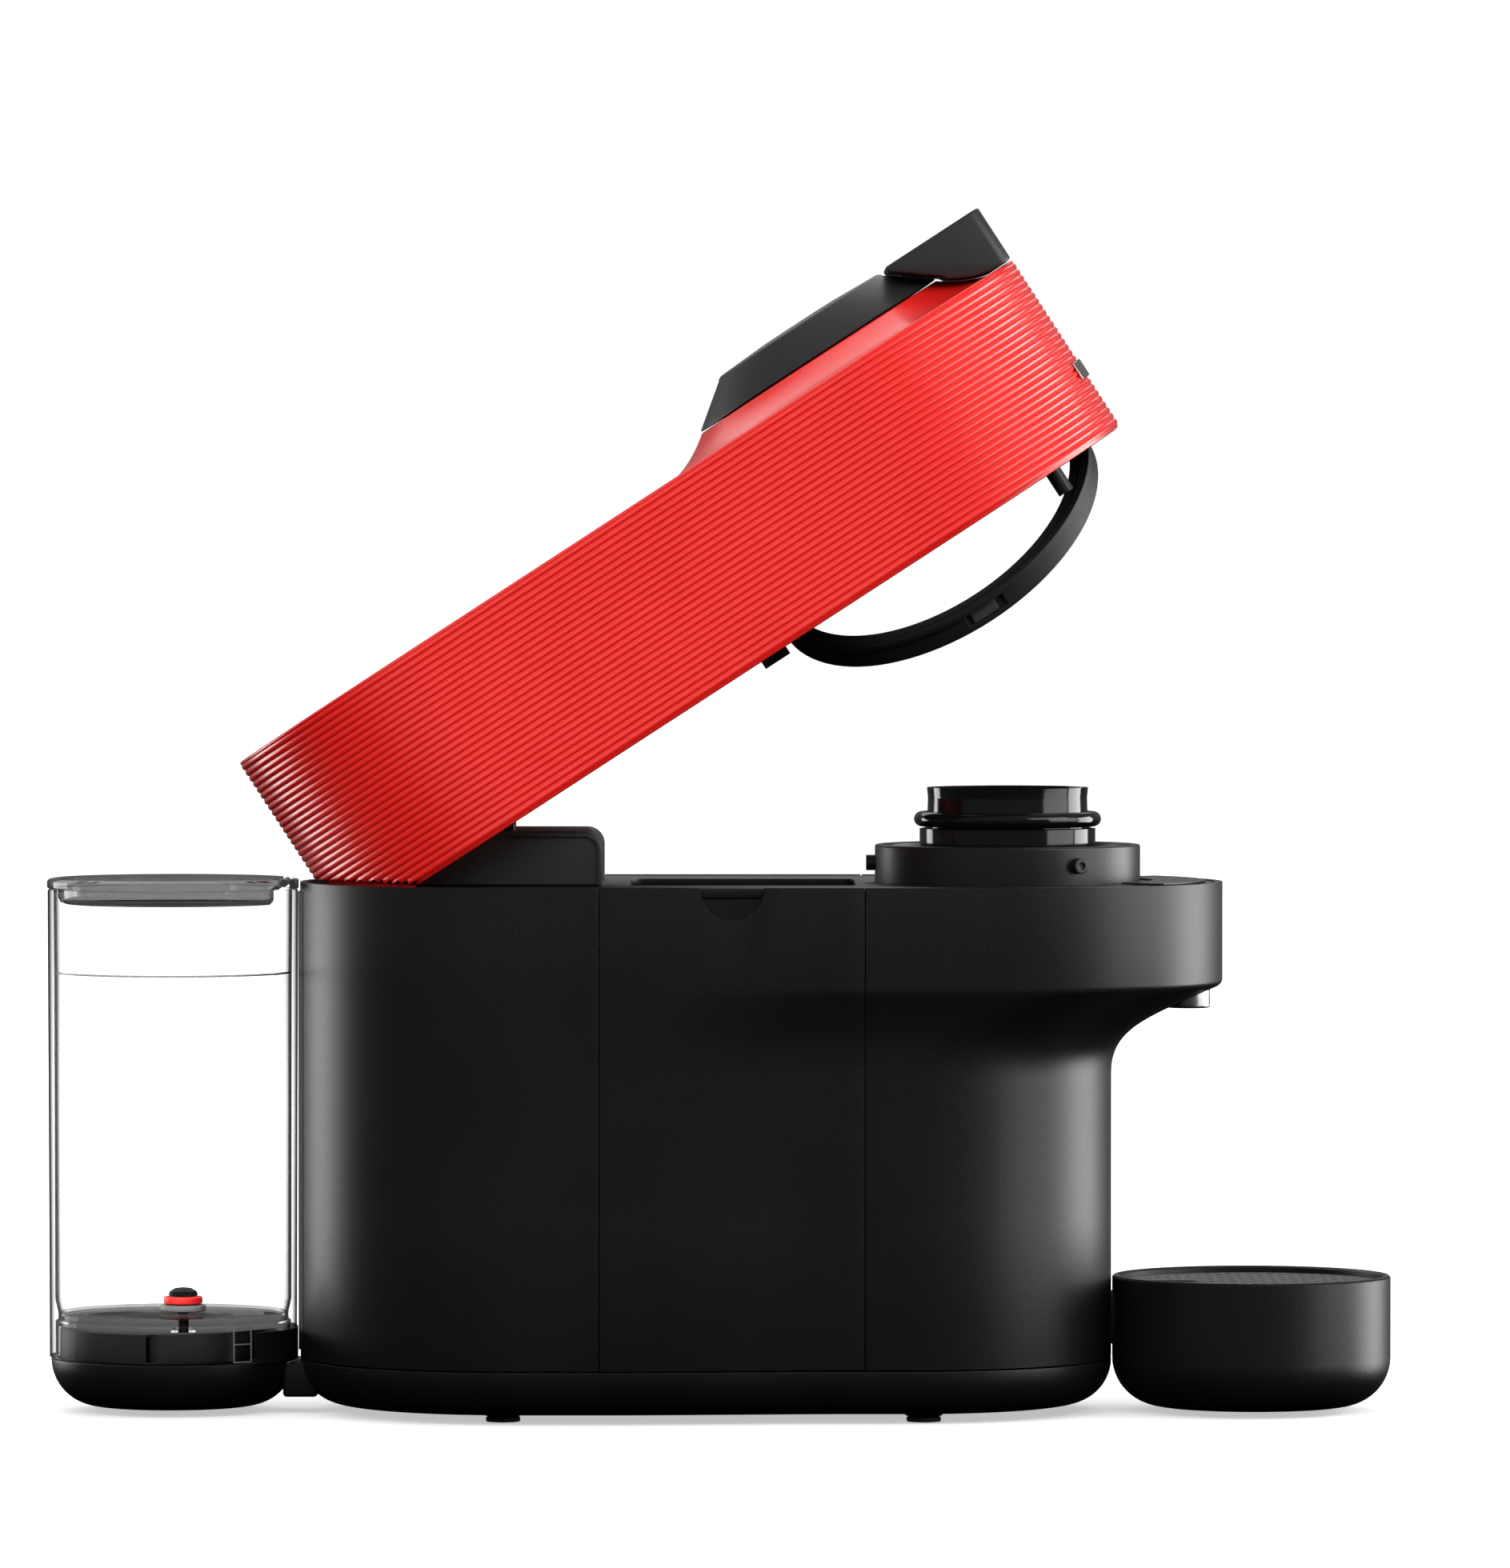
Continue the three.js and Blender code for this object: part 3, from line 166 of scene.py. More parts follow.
def make_floor():
    mesh = bpy.data.meshes.new("floor")
    reach = 12
    corners = [(-reach, -reach, 0), (reach, -reach, 0), (reach, reach, 0), (-reach, reach, 0)]
    mesh.from_pydata(corners, [], [(0, 1, 2, 3)])
    floor = bpy.data.objects.new("floor", mesh)
    bpy.context.collection.objects.link(floor)
    look = bpy.data.materials.new("floor_paper")
    look.use_nodes = True
    shader = look.node_tree.nodes["Principled BSDF"]
    shader.inputs["Base Color"].default_value = (0.75, 0.75, 0.75, 1)
    shader.inputs["Roughness"].default_value = 1
    shader.inputs["Specular IOR Level"].default_value = 0
    shader.inputs["Emission Color"].default_value = (1, 1, 1, 1)
    tree = look.node_tree
    place = tree.nodes.new("ShaderNodeTexCoord")
    away = tree.nodes.new("ShaderNodeVectorMath")
    away.operation = "LENGTH"
    tree.links.new(place.outputs["Object"], away.inputs[0])
    glow = tree.nodes.new("ShaderNodeMapRange")
    glow.inputs["From Min"].default_value = 0.3
    glow.inputs["From Max"].default_value = 1.6
    glow.inputs["To Min"].default_value = 0.5
    glow.inputs["To Max"].default_value = 1.1
    tree.links.new(away.outputs["Value"], glow.inputs["Value"])
    tree.links.new(glow.outputs["Result"], shader.inputs["Emission Strength"])
    mesh.materials.append(look)
    floor.visible_glossy = False
    floor.visible_diffuse = False


def around(angle, distance, height):
    """A place at an angle round the machine, counted from the camera's side to the right."""
    turn = math.radians(angle)
    return (distance * math.sin(turn), -distance * math.cos(turn), height)


def make_lights():
    middle = (0, 0, 0.17)
    area_light("right_rear_softbox", around(112, 1.9, 0.25), middle, (1.0, 1.3), 27)
    area_light("right_softbox", around(74, 2.1, 0.5), middle, (1.6, 1.5), 20)
    area_light("head_softbox", around(58, 1.8, 1.25), (0.08, 0, 0.3), (1.9, 0.9), 11)
    area_light("left_rear_softbox", around(-121, 1.9, 0.15), middle, (0.9, 0.7), 10)
    area_light("top_softbox", (-0.3, 1.4, 1.7), (0, 0, 0.2), (2.3, 2.0), 16)
    area_light("front_fill", (0.1, -2.3, 1.5), middle, (2.6, 1.2), 42, glossy=False)
    area_light("left_fill", around(-35, 2.3, 0.9), (-0.1, 0, 0.2), (1.6, 1.2), 25, glossy=False)
    area_light("floor_wash", (0, 0.2, 2.6), (0, 0.2, 0), (3.5, 3.5), 30, glossy=False)


# ---- materials -----------------------------------------------------------------------
def grain(tree, scale, detail=2.0):
    """Fine noise in object space, so it keeps its size on every piece."""
    place = tree.nodes.new("ShaderNodeTexCoord")
    noise = tree.nodes.new("ShaderNodeTexNoise")
    noise.inputs["Scale"].default_value = scale
    noise.inputs["Detail"].default_value = detail
    tree.links.new(place.outputs["Object"], noise.inputs["Vector"])
    return noise.outputs["Fac"]


def spread(tree, source, low, high):
    """The noise, stretched to run from low to high."""
    ranged = tree.nodes.new("ShaderNodeMapRange")
    ranged.inputs["From Min"].default_value = 0.3
    ranged.inputs["From Max"].default_value = 0.7
    ranged.inputs["To Min"].default_value = low
    ranged.inputs["To Max"].default_value = high
    tree.links.new(source, ranged.inputs["Value"])
    return ranged.outputs["Result"]


def tint(tree, source, dark, light):
    ramp = tree.nodes.new("ShaderNodeValToRGB")
    ramp.color_ramp.elements[0].color = (*dark, 1)
    ramp.color_ramp.elements[1].color = (*light, 1)
    ramp.color_ramp.elements[0].position = 0.3
    ramp.color_ramp.elements[1].position = 0.7
    tree.links.new(source, ramp.inputs["Fac"])
    return ramp.outputs["Color"]


def plastic(name, dark, light, rough, grain_size=2200, bump=0.08, **sockets):
    """Moulded plastic, rubber or metal: clouded colour and roughness over a fine grain."""
    look = bpy.data.materials.new(name)
    look.use_nodes = True
    tree = look.node_tree
    shader = tree.nodes["Principled BSDF"]
    cloud = grain(tree, 25)
    speck = grain(tree, grain_size, 1.0)
    tree.links.new(tint(tree, cloud, dark, light), shader.inputs["Base Color"])
    tree.links.new(spread(tree, speck, *rough), shader.inputs["Roughness"])
    if bump:
        relief = tree.nodes.new("ShaderNodeBump")
        relief.inputs["Strength"].default_value = bump
        relief.inputs["Distance"].default_value = 0.0001
        tree.links.new(speck, relief.inputs["Height"])
        tree.links.new(relief.outputs["Normal"], shader.inputs["Normal"])
    for socket, value in sockets.items():
        shader.inputs[socket.replace("_", " ")].default_value = value
    return look


MATTE_BLACK = plastic("matte_black_plastic", (0.0036,) * 3, (0.0052,) * 3, (0.38, 0.44), bump=0.3)
SATIN_BLACK = plastic("satin_black_plastic", (0.004,) * 3, (0.006,) * 3, (0.34, 0.4), bump=0.15)
GLOSS_BLACK = plastic("gloss_black_plastic", (0.003,) * 3, (0.004,) * 3, (0.08, 0.12), bump=0)
RED = plastic(
    "glossy_red_plastic", (0.70, 0.012, 0.009), (0.74, 0.016, 0.012), (0.33, 0.35), 40, bump=0,
    Coat_Weight=0.4, Coat_Roughness=0.22,
)
CHROME = plastic("chrome_plate", (0.75,) * 3, (0.82,) * 3, (0.06, 0.1), bump=0, Metallic=1.0)
STEEL = plastic("satin_steel", (0.42,) * 3, (0.55,) * 3, (0.25, 0.35), 900, 0.1, Metallic=1.0)
RUBBER = plastic("black_rubber", (0.012,) * 3, (0.02,) * 3, (0.75, 0.9), bump=0.4)
SEAL_RED = plastic("red_silicone", (0.5, 0.01, 0.008), (0.62, 0.02, 0.015), (0.35, 0.45))
GREY = plastic("grey_plastic", (0.3,) * 3, (0.38,) * 3, (0.4, 0.5))
HOSE = plastic("milky_hose", (0.62, 0.62, 0.58), (0.7, 0.7, 0.66), (0.3, 0.4))
BOARD = plastic("solder_mask", (0.01, 0.1, 0.03), (0.015, 0.14, 0.05), (0.3, 0.4), 600, 0.3)


def see_through(name, face_on, edge_on, coat):
    """Thin clear plastic: it hardly bends light, and darkens where it is seen edge on."""
    look = bpy.data.materials.new(name)
    look.use_nodes = True
    tree = look.node_tree
    shader = tree.nodes["Principled BSDF"]
    slant = tree.nodes.new("ShaderNodeLayerWeight")
    slant.inputs["Blend"].default_value = 0.5
    ramp = tree.nodes.new("ShaderNodeValToRGB")
    ramp.color_ramp.elements[0].position = 0.64
    ramp.color_ramp.elements[0].color = (*face_on, 1)
    ramp.color_ramp.elements[1].position = 0.82
    ramp.color_ramp.elements[1].color = (*edge_on, 1)
    tree.links.new(slant.outputs["Facing"], ramp.inputs["Fac"])
    tree.links.new(ramp.outputs["Color"], shader.inputs["Base Color"])
    tree.links.new(spread(tree, grain(tree, 900, 1.0), 0.0, 0.01), shader.inputs["Roughness"])
    shader.inputs["Transmission Weight"].default_value = 1
    shader.inputs["IOR"].default_value = 1.01
    shader.inputs["Coat Weight"].default_value = coat
    shader.inputs["Coat Roughness"].default_value = 0.04
    return look


CLEAR = see_through("clear_plastic", (1.0, 1.0, 1.0), (0.02, 0.02, 0.02), 0.05)
CLEAR_FLAT = see_through("clear_plastic_flat", (0.9, 0.9, 0.9), (0.4, 0.4, 0.4), 0.15)
SMOKE = see_through("smoke_plastic", (0.17, 0.17, 0.173), (0.03, 0.03, 0.031), 0.6)
PLINTH_BLACK = plastic(
    "plinth_black_plastic", (0.004,) * 3, (0.006,) * 3, (0.55, 0.6), bump=0, Specular_IOR_Level=0.25
)
RING_BLACK = plastic(
    "ring_black_plastic", (0.007,) * 3, (0.01,) * 3, (0.5, 0.56), bump=0.2, Specular_IOR_Level=0.3
)
GRID_BLACK = plastic("grid_black_plastic", (0.02,) * 3, (0.035,) * 3, (0.35, 0.42), bump=0.2)
# a black a little lighter than the casing's, used on the lock ring and its lugs
GREY_BLACK = plastic("lighter_black_plastic", (0.012,) * 3, (0.02,) * 3, (0.35, 0.45), bump=0.15)
# grey of the valve flange, also used as painted shade: the dark line at the tank's clear ledge
FLANGE_GREY_AND_LEDGE_SHADE = plastic("flange_grey_and_ledge_shade_plastic", (0.12,) * 3, (0.15,) * 3, (0.4, 0.5), bump=0)
LATCH_GREY = plastic("latch_grey_plastic", (0.1,) * 3, (0.13,) * 3, (0.4, 0.5), bump=0)
# painted light: a brighter copy of the matte black, standing in for the light that falls on the lever cap,
# handle and root
LEVER_LIT_BLACK = plastic("lever_lit_black_plastic", (0.016,) * 3, (0.021,) * 3, (0.38, 0.44), bump=0.3)
# painted light: a brighter copy of the matte black, standing in for the light that falls on the hinge tower
# and its rims
TOWER_LIT_BLACK = plastic("tower_lit_black_plastic", (0.017,) * 3, (0.022,) * 3, (0.38, 0.44), bump=0.3)
WINDOW_BLACK = plastic("window_black_plastic", (0.035,) * 3, (0.045,) * 3, (0.3, 0.36), bump=0.1)

SLOT_LOOKS = {
    "matte_black": MATTE_BLACK, "gloss_black": GLOSS_BLACK, "glossy_red": RED,
    "bright_chrome": CHROME, "satin_steel": STEEL, "black_rubber": RUBBER,
    "clear_plastic": CLEAR, "smoke_plastic": SMOKE, "red_seal": SEAL_RED,
    "grey_plastic": GREY, "circuit_board": BOARD, "milky_hose": HOSE,
}
node_slots = {row["node"]: row["material_slot"] for row in frame["record"]["subparts"]}
node_bodies = {
    node: body for body, nodes in frame["record"]["behaviour"]["bodies"].items() for node in nodes
}


def paint_frame():
    for node, part in frame["nodes"].items():
        part.data.materials.clear()
        part.data.materials.append(SLOT_LOOKS[node_slots[node]])


# ---- shape helpers -------------------------------------------------------------------
def arc(radius, start, end, steps, x=0.0, y=0.0):
    """Points on an arc, angles in degrees."""
    angles = [math.radians(start + (end - start) * i / steps) for i in range(steps + 1)]
    return [(x + radius * math.cos(a), y + radius * math.sin(a)) for a in angles]


def rounded(points, radius, steps=4):
    """The closed outline with its corners rounded, as far as its sides allow."""
    result = []
    for i, point in enumerate(points):
        corner = Vector(point)
        back = Vector(points[i - 1]) - corner
        ahead = Vector(points[(i + 1) % len(points)]) - corner
        reach = min(radius, 0.45 * back.length, 0.45 * ahead.length)
        start = corner + back.normalized() * reach
        end = corner + ahead.normalized() * reach
        for step in range(steps + 1):
            t = step / steps
            bend = start * (1 - t) ** 2 + corner * 2 * t * (1 - t) + end * t ** 2
            result.append(tuple(bend))
    return result


def skin(loops, wrap=False):
    """Vertices and faces over closed loops with equal numbers of points."""
    count = len(loops[0])
    verts = [point for loop in loops for point in loop]
    faces = []
    levels = len(loops)
    for level in range(levels if wrap else levels - 1):
        base, above = level * count, (level + 1) % levels * count
        for i in range(count):
            j = (i + 1) % count
            faces.append((base + i, base + j, above + j, above + i))
    if not wrap:
        faces.append(tuple(reversed(range(count))))
        faces.append(tuple(range((levels - 1) * count, levels * count)))
    return verts, faces


def turned(profile, sides=FINE, wrap=True, x=0.0, y=0.0):
    """A profile of (radius, height) points turned about the vertical through x, y."""
    loops = []
    for radius, height in profile:
        loops.append([(px, py, height) for px, py in arc(radius, 0, 360, sides, x, y)[:-1]])
    return skin(loops, wrap)


def prism(outline, low, high):
    """An outline of (x, y) points raised from low to high."""
    return skin([[(x, y, z) for x, y in outline] for z in (low, high)])


def side_prism(outline, y0, y1):
    """An outline of (x, z) points drawn out across the machine."""
    return skin([[(x, y, z) for x, z in outline] for y in (y0, y1)])


def solid_box(low, high):
    """A block between two opposite corners."""
    (x0, y0, z0), (x1, y1, z1) = low, high
    return prism([(x0, y0), (x1, y0), (x1, y1), (x0, y1)], z0, z1)


def new_object(name, shape, matrix=None):
    verts, faces = shape
    mesh = bpy.data.meshes.new(name)
    mesh.from_pydata([tuple(v) for v in verts], [], faces)
    mesh.transform(Matrix.Scale(MM, 4) @ (matrix or Matrix()))
    work = bmesh.new()
    work.from_mesh(mesh)
    bmesh.ops.remove_doubles(work, verts=work.verts, dist=2e-6)
    bmesh.ops.recalc_face_normals(work, faces=work.faces)
    work.to_mesh(mesh)
    work.free()
    made = bpy.data.objects.new(name, mesh)
    bpy.context.collection.objects.link(made)
    return made


def settle(made):
    """Turns an object's modifiers into plain mesh."""
    bpy.context.view_layer.update()
    graph = bpy.context.evaluated_depsgraph_get()
    mesh = bpy.data.meshes.new_from_object(made.evaluated_get(graph))
    made.modifiers.clear()
    made.data = mesh


def carve(made, tool):
    step = made.modifiers.new("carve", "BOOLEAN")
    step.operation = "DIFFERENCE"
    step.solver = "EXACT"
    step.object = tool
    settle(made)
    bpy.data.objects.remove(tool)


def finish(made, look, nodes, bevel=0.0, body=None, angle=30):
    """Bevels and shades a piece, paints it, and lets it stand for its CAD nodes."""
    if bevel:
        step = made.modifiers.new("edges", "BEVEL")
        step.width = bevel * MM
        step.segments = 3
        step.limit_method = "ANGLE"
        step.angle_limit = math.radians(angle)
        settle(made)
    made.data.materials.clear()
    made.data.materials.append(look)
    made.data.shade_smooth()
    made.data.set_sharp_from_angle(angle=math.radians(angle))
    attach(made, body or node_bodies[nodes[0]])
    if nodes:
        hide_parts(*nodes)
    return made


def let_light_by(*names):
    """Clear pieces throw no shadow and don't show in the gloss of the pieces near them."""
    for name in names:
        bpy.data.objects[name].visible_shadow = False
        bpy.data.objects[name].visible_glossy = False


def smoothstep(x, low, high):
    t = min(max((x - low) / (high - low), 0), 1)
    return t * t * (3 - 2 * t)


def lerp(a, b, t):
    return a + (b - a) * t


# ---- body casings --------------------------------------------------------------------
BODY_ARC = 48


def body_outline(flare, inset):
    """Plan of the body: flare 0 is the lower column, flare 1 the band above it."""
    column_centre = COLUMN_FRONT - COLUMN_HALF_WIDTH
    centre = lerp(column_centre, BREW_X, flare)
    radius = lerp(COLUMN_HALF_WIDTH, HALF_WIDTH, flare) - inset
    side = []
    stations = 24
    for i in range(1, stations):
        x_column = lerp(column_centre, REAR_CENTRE, i / stations)
        narrow = smoothstep(x_column, SEAM_REAR, SEAM_FRONT)
        half = lerp(HALF_WIDTH, COLUMN_HALF_WIDTH, narrow)
        x = lerp(centre, REAR_CENTRE, i / stations)
        side.append((x, lerp(half, HALF_WIDTH, flare) - inset))
    mirrored = [(x, -y) for x, y in reversed(side)]
    front = arc(radius, -90, 90, BODY_ARC, centre)
    rear = arc(HALF_WIDTH - inset, 90, 270, BODY_ARC, REAR_CENTRE)
    return [*front, *side, *rear, *mirrored]


def sweep_point(t):
    """Flare and height on the curve that runs out from the column to the band."""
    out = BAND_FRONT - COLUMN_FRONT
    top = COVE_BOTTOM + COVE_RISE
    points = [(0, COVE_BOTTOM), (0, top - 14), (0.3 * out, top - 10.2), (out - 1.3, top)]
    weights = [(1 - t) ** 3, 3 * t * (1 - t) ** 2, 3 * t * t * (1 - t), t ** 3]
    x = sum(w * p[0] for w, p in zip(weights, points))
    return x / out, sum(w * p[1] for w, p in zip(weights, points))


def body_levels(raise_by, low, high):
    """(flare, height) pairs from the groove up to the deck."""
    sweep = [sweep_point(i / 24) for i in range(25)]
    top = COVE_BOTTOM + COVE_RISE
    turn = [(lerp(sweep[-1][0], 1, 1 - (1 - i / 5) ** 2), top + 2.1 * i / 5) for i in range(1, 6)]
    curve = [(flare, z + raise_by) for flare, z in [*sweep, *turn]]
    return [(0, low), (0, lerp(low, COVE_BOTTOM, 0.5)), *curve, (1, high)]


def body_tube():
    low, high = shell_low.z, DECK
    loops = []
    for flare, z in body_levels(0, low, high):
        loops.append([(x, y, z) for x, y in body_outline(flare, 0)])
    for flare, z in reversed(body_levels(WALL, low, high)):
        loops.append([(x, y, z) for x, y in body_outline(flare, WALL)])
    return skin(loops, wrap=True)


def slice_tube(name, x0, x1, side=0):
    """The stretch of the casing from x0 to x1, on both sides or on one."""
    made = new_object(name, body_tube())
    work = bmesh.new()
    work.from_mesh(made.data)
    for x, keep_right in ((x0, True), (x1, False)):
        if x is None:
            continue
        bmesh.ops.bisect_plane(
            work, geom=[*work.verts, *work.edges, *work.faces], plane_co=(x * MM, 0, 0),
            plane_no=(1, 0, 0), clear_inner=keep_right, clear_outer=not keep_right,
        )
        rim = [edge for edge in work.edges if edge.is_boundary]
        bmesh.ops.holes_fill(work, edges=rim, sides=0)
    if side:
        gone = [vert for vert in work.verts if vert.co.y * side < 0]
        bmesh.ops.delete(work, geom=gone, context="VERTS")
    bmesh.ops.recalc_face_normals(work, faces=work.faces)
    work.to_mesh(made.data)
    work.free()
    return made


def make_casings():
    rear = slice_tube("rear_casing", None, SEAM_REAR)
    finish(rear, MATTE_BLACK, ["rear_shell"], bevel=0.55)
    front = slice_tube("front_casing", SEAM_FRONT, None)
    spout_low, spout_high = box_mm("coffee_spout")
    spout_x = (spout_low.x + spout_high.x) / 2
    bore = turned([(0.01, 110), (7.3, 110), (7.3, 150), (0.01, 150)], 48, False, spout_x)
    carve(front, new_object("hole", bore))
    finish(front, MATTE_BLACK, ["front_shell"], bevel=0.55)
    x0, x1 = SEAM_REAR + SEAM_GAP, SEAM_FRONT - SEAM_GAP
    drawer = slice_tube("drawer_panel", x0, x1, side=-1)
    notch_x = 4.2
    circle = arc(10.1, 0, 360, 64, notch_x, DECK)[:-1]
    carve(drawer, new_object("notch", side_prism(circle, -90, 0)))
    finish(drawer, MATTE_BLACK, ["drawer_front"], bevel=0.55)
    deck_low = box_mm("deck_plate")[0].z
    inner = HALF_WIDTH - WALL
    recess = solid_box((notch_x - 12, 1.4 - inner, DECK - 13), (notch_x + 12, 0.1 - inner, deck_low - 0.3))
    made = new_object("notch_recess", recess)
    finish(made, MATTE_BLACK, [], body="drawer")
    far = slice_tube("far_panel", x0, x1, side=1)
    finish(far, MATTE_BLACK, ["far_side_panel"], bevel=0.55)


def make_seam_backing():
    """Dark strips behind the seams, so that no light comes through the gaps."""
    for index, x in enumerate((SEAM_REAR + SEAM_GAP / 2, SEAM_FRONT - SEAM_GAP / 2)):
        for side in (-1, 1):
            y0, y1 = sorted((side * 55, side * 59.8))
            strip = solid_box((x - 3, y0, shell_low.z + 0.3), (x + 3, y1, 149))
            made = new_object(f"seam_strip_{index}_{'far' if side > 0 else 'near'}", strip)
            finish(made, SATIN_BLACK, [], bevel=0.3, body="base")


def make_base_pan():
    round_by, bottom, top = 14.0, pan_low.z + 1.2, pan_high.z
    loops = []
    for x, z in arc(round_by, -90, 0, 14):
        outline = body_outline(0, round_by - x)
        loops.append([(px, py, bottom + round_by + z) for px, py in outline])
    loops.append([(px, py, top) for px, py in body_outline(0, 0)])
    loops.append([(px, py, top) for px, py in body_outline(0, WALL)])
    loops.append([(px, py, top - 6) for px, py in body_outline(0, WALL)])
    pan = new_object("base_pan_skin", skin(loops))
    finish(pan, MATTE_BLACK, ["base_pan"], bevel=0.25, angle=40)
    for index in range(1, 5):
        low, high = box_mm(f"foot_pad_{index}")
        x, y = (low.x + high.x) / 2, (low.y + high.y) / 2
        boss = rounded([(0.01, 1.8), (5.8, 1.8), (6.4, 3.2), (8.6, 4.8), (8.6, 6), (0.01, 6)], 0.6)
        made = new_object(f"foot_boss_{index}", turned(boss, 40, True, x, y))
        finish(made, MATTE_BLACK, [], body="base")
        pad = rounded([(0.01, 0), (5.4, 0), (5.4, 1.5), (0.01, 1.5)], 0.4)
        made = new_object(f"foot_pad_skin_{index}", turned(pad, 40, True, x, y))
        finish(made, RUBBER, [f"foot_pad_{index}"])


def perforated(name, outline, holes, low, high, soften=0.15):
    """A flat plate with holes, from one filled curve."""
    data = bpy.data.curves.new(name, "CURVE")
    data.dimensions = "2D"
    data.fill_mode = "BOTH"
    for loop in [outline, *holes]:
        line = data.splines.new("POLY")
        line.points.add(len(loop) - 1)
        for point, (x, y) in zip(line.points, loop):
            point.co = (x * MM, y * MM, 0, 1)
        line.use_cyclic_u = True
    data.extrude = ((high - low) / 2 - soften) * MM
    data.bevel_depth = soften * MM
    data.bevel_resolution = 1
    data.offset = -soften * MM
    curve = bpy.data.objects.new(name + "_curve", data)
    bpy.context.collection.objects.link(curve)
    bpy.context.view_layer.update()
    graph = bpy.context.evaluated_depsgraph_get()
    mesh = bpy.data.meshes.new_from_object(curve.evaluated_get(graph))
    bpy.data.objects.remove(curve)
    mesh.transform(Matrix.Translation((0, 0, (low + high) / 2 * MM)))
    work = bmesh.new()
    work.from_mesh(mesh)
    bmesh.ops.remove_doubles(work, verts=work.verts, dist=1e-6)
    bmesh.ops.recalc_face_normals(work, faces=work.faces)
    work.to_mesh(mesh)
    work.free()
    made = bpy.data.objects.new(name, mesh)
    bpy.context.collection.objects.link(made)
    return made


def clip(points, keep_x):
    """Points of an outline, pushed to one side of a line across the machine."""
    return [(max(x, keep_x), y) for x, y in points]


def make_deck():
    low, high = box_mm("deck_plate")
    outline = clip(body_outline(1, WALL + 0.3), low.x)
    chute = rounded([(-28, -34), (43, -34), (43, 34), (-28, 34)], 4)
    collar_hole = arc(42.5, 0, 360, FINE, BREW_X)[:-1]
    peg_x, peg_from_axis = 41.3, 61.2
    peg_y = -math.sqrt(peg_from_axis ** 2 - peg_x ** 2)
    peg_hole = arc(3.5, 0, 360, 32, BREW_X + peg_x, peg_y)[:-1]
    plate = perforated("deck_skin", outline, [chute, collar_hole, peg_hole], low.z, high.z, 0.3)
    finish(plate, MATTE_BLACK, ["deck_plate"])
    low, high = box_mm("deck_grille")
    inner, outer, spread_by = 46.1, 62.8, 40
    strip = [*arc(outer, -spread_by, spread_by, 40, BREW_X), *arc(inner, spread_by, -spread_by, 40, BREW_X)]
    holes = []
    for row in range(4):
        radius = inner + 3.1 + 3.5 * row
        count = 19 + row * 2
        for i in range(count):
            angle = math.radians(lerp(-spread_by + 3.5, spread_by - 3.5, (i + 0.5 * (row % 2)) / count))
            x, y = BREW_X + radius * math.cos(angle), radius * math.sin(angle)
            holes.append(arc(1.0, 0, 360, 8, x, y)[:-1])
    grille = perforated("deck_grille_skin", strip, holes, low.z, high.z, 0.1)
    finish(grille, SATIN_BLACK, ["deck_grille"])


def make_tower():
    low, high = box_mm("hinge_tower")
    rear, bottom = -94.0, DECK
    front, top = high.x, bottom + 16.3
    outline = [(rear, bottom), (front, bottom), *arc(5.5, 0, 90, 12, front - 5.5, top - 5.5), (rear, top)]
    tower = new_object("tower_skin", side_prism(outline, low.y + 0.8, high.y - 0.8))
    finish(tower, TOWER_LIT_BLACK, ["hinge_tower"], bevel=0.5)
    outer = arc(5.5, 0, 90, 12, front - 5.5, top - 5.5)
    inner = arc(4.2, 90, 0, 12, front - 5.5, top - 5.5)
    rim = [(front, bottom), *outer, (-65.8, top), (-65.8, top - 1.3), *inner, (front - 1.3, bottom)]
    for side in (-1, 1):
        y0, y1 = sorted((side * (high.y - 2), side * high.y))
        made = new_object(f"tower_rim_{'far' if side > 0 else 'near'}", side_prism(rim, y0, y1))
        finish(made, TOWER_LIT_BLACK, [], bevel=0.25, body="base")
    low, high = bottom + 15, bottom + 18.6
    rib_outline = [(-66.6, low), (-64.6, low), (-64.6, high), (-66.6, high)]
    rib = new_object("tower_rib", side_prism(rib_outline, -14, 14))
    finish(rib, MATTE_BLACK, [], bevel=0.3, body="base")
    for side in (-1, 1):
        y0, y1 = sorted((28 * side, 40 * side))
        eye = arc(7, 60, 300, 30, hinge.x, hinge.z)
        eye = [*eye, (rear + 1, hinge.z - 6), (rear + 1, bottom + 16.2)]
        made = new_object(f"tower_eye_{'far' if side > 0 else 'near'}", side_prism(eye, y0, y1))
        finish(made, MATTE_BLACK, [], bevel=0.6, body="base")
    pin_low, pin_high = box_mm("hinge_pin")
    ends = rounded([(0.01, pin_low.y), (3, pin_low.y), (3, pin_high.y), (0.01, pin_high.y)], 0.6)
    upright = Matrix.Translation((hinge.x, 0, hinge.z)) @ Matrix.Rotation(math.radians(-90), 4, "X")
    finish(new_object("hinge_pin_skin", turned(ends, 32), upright), STEEL, ["hinge_pin"])


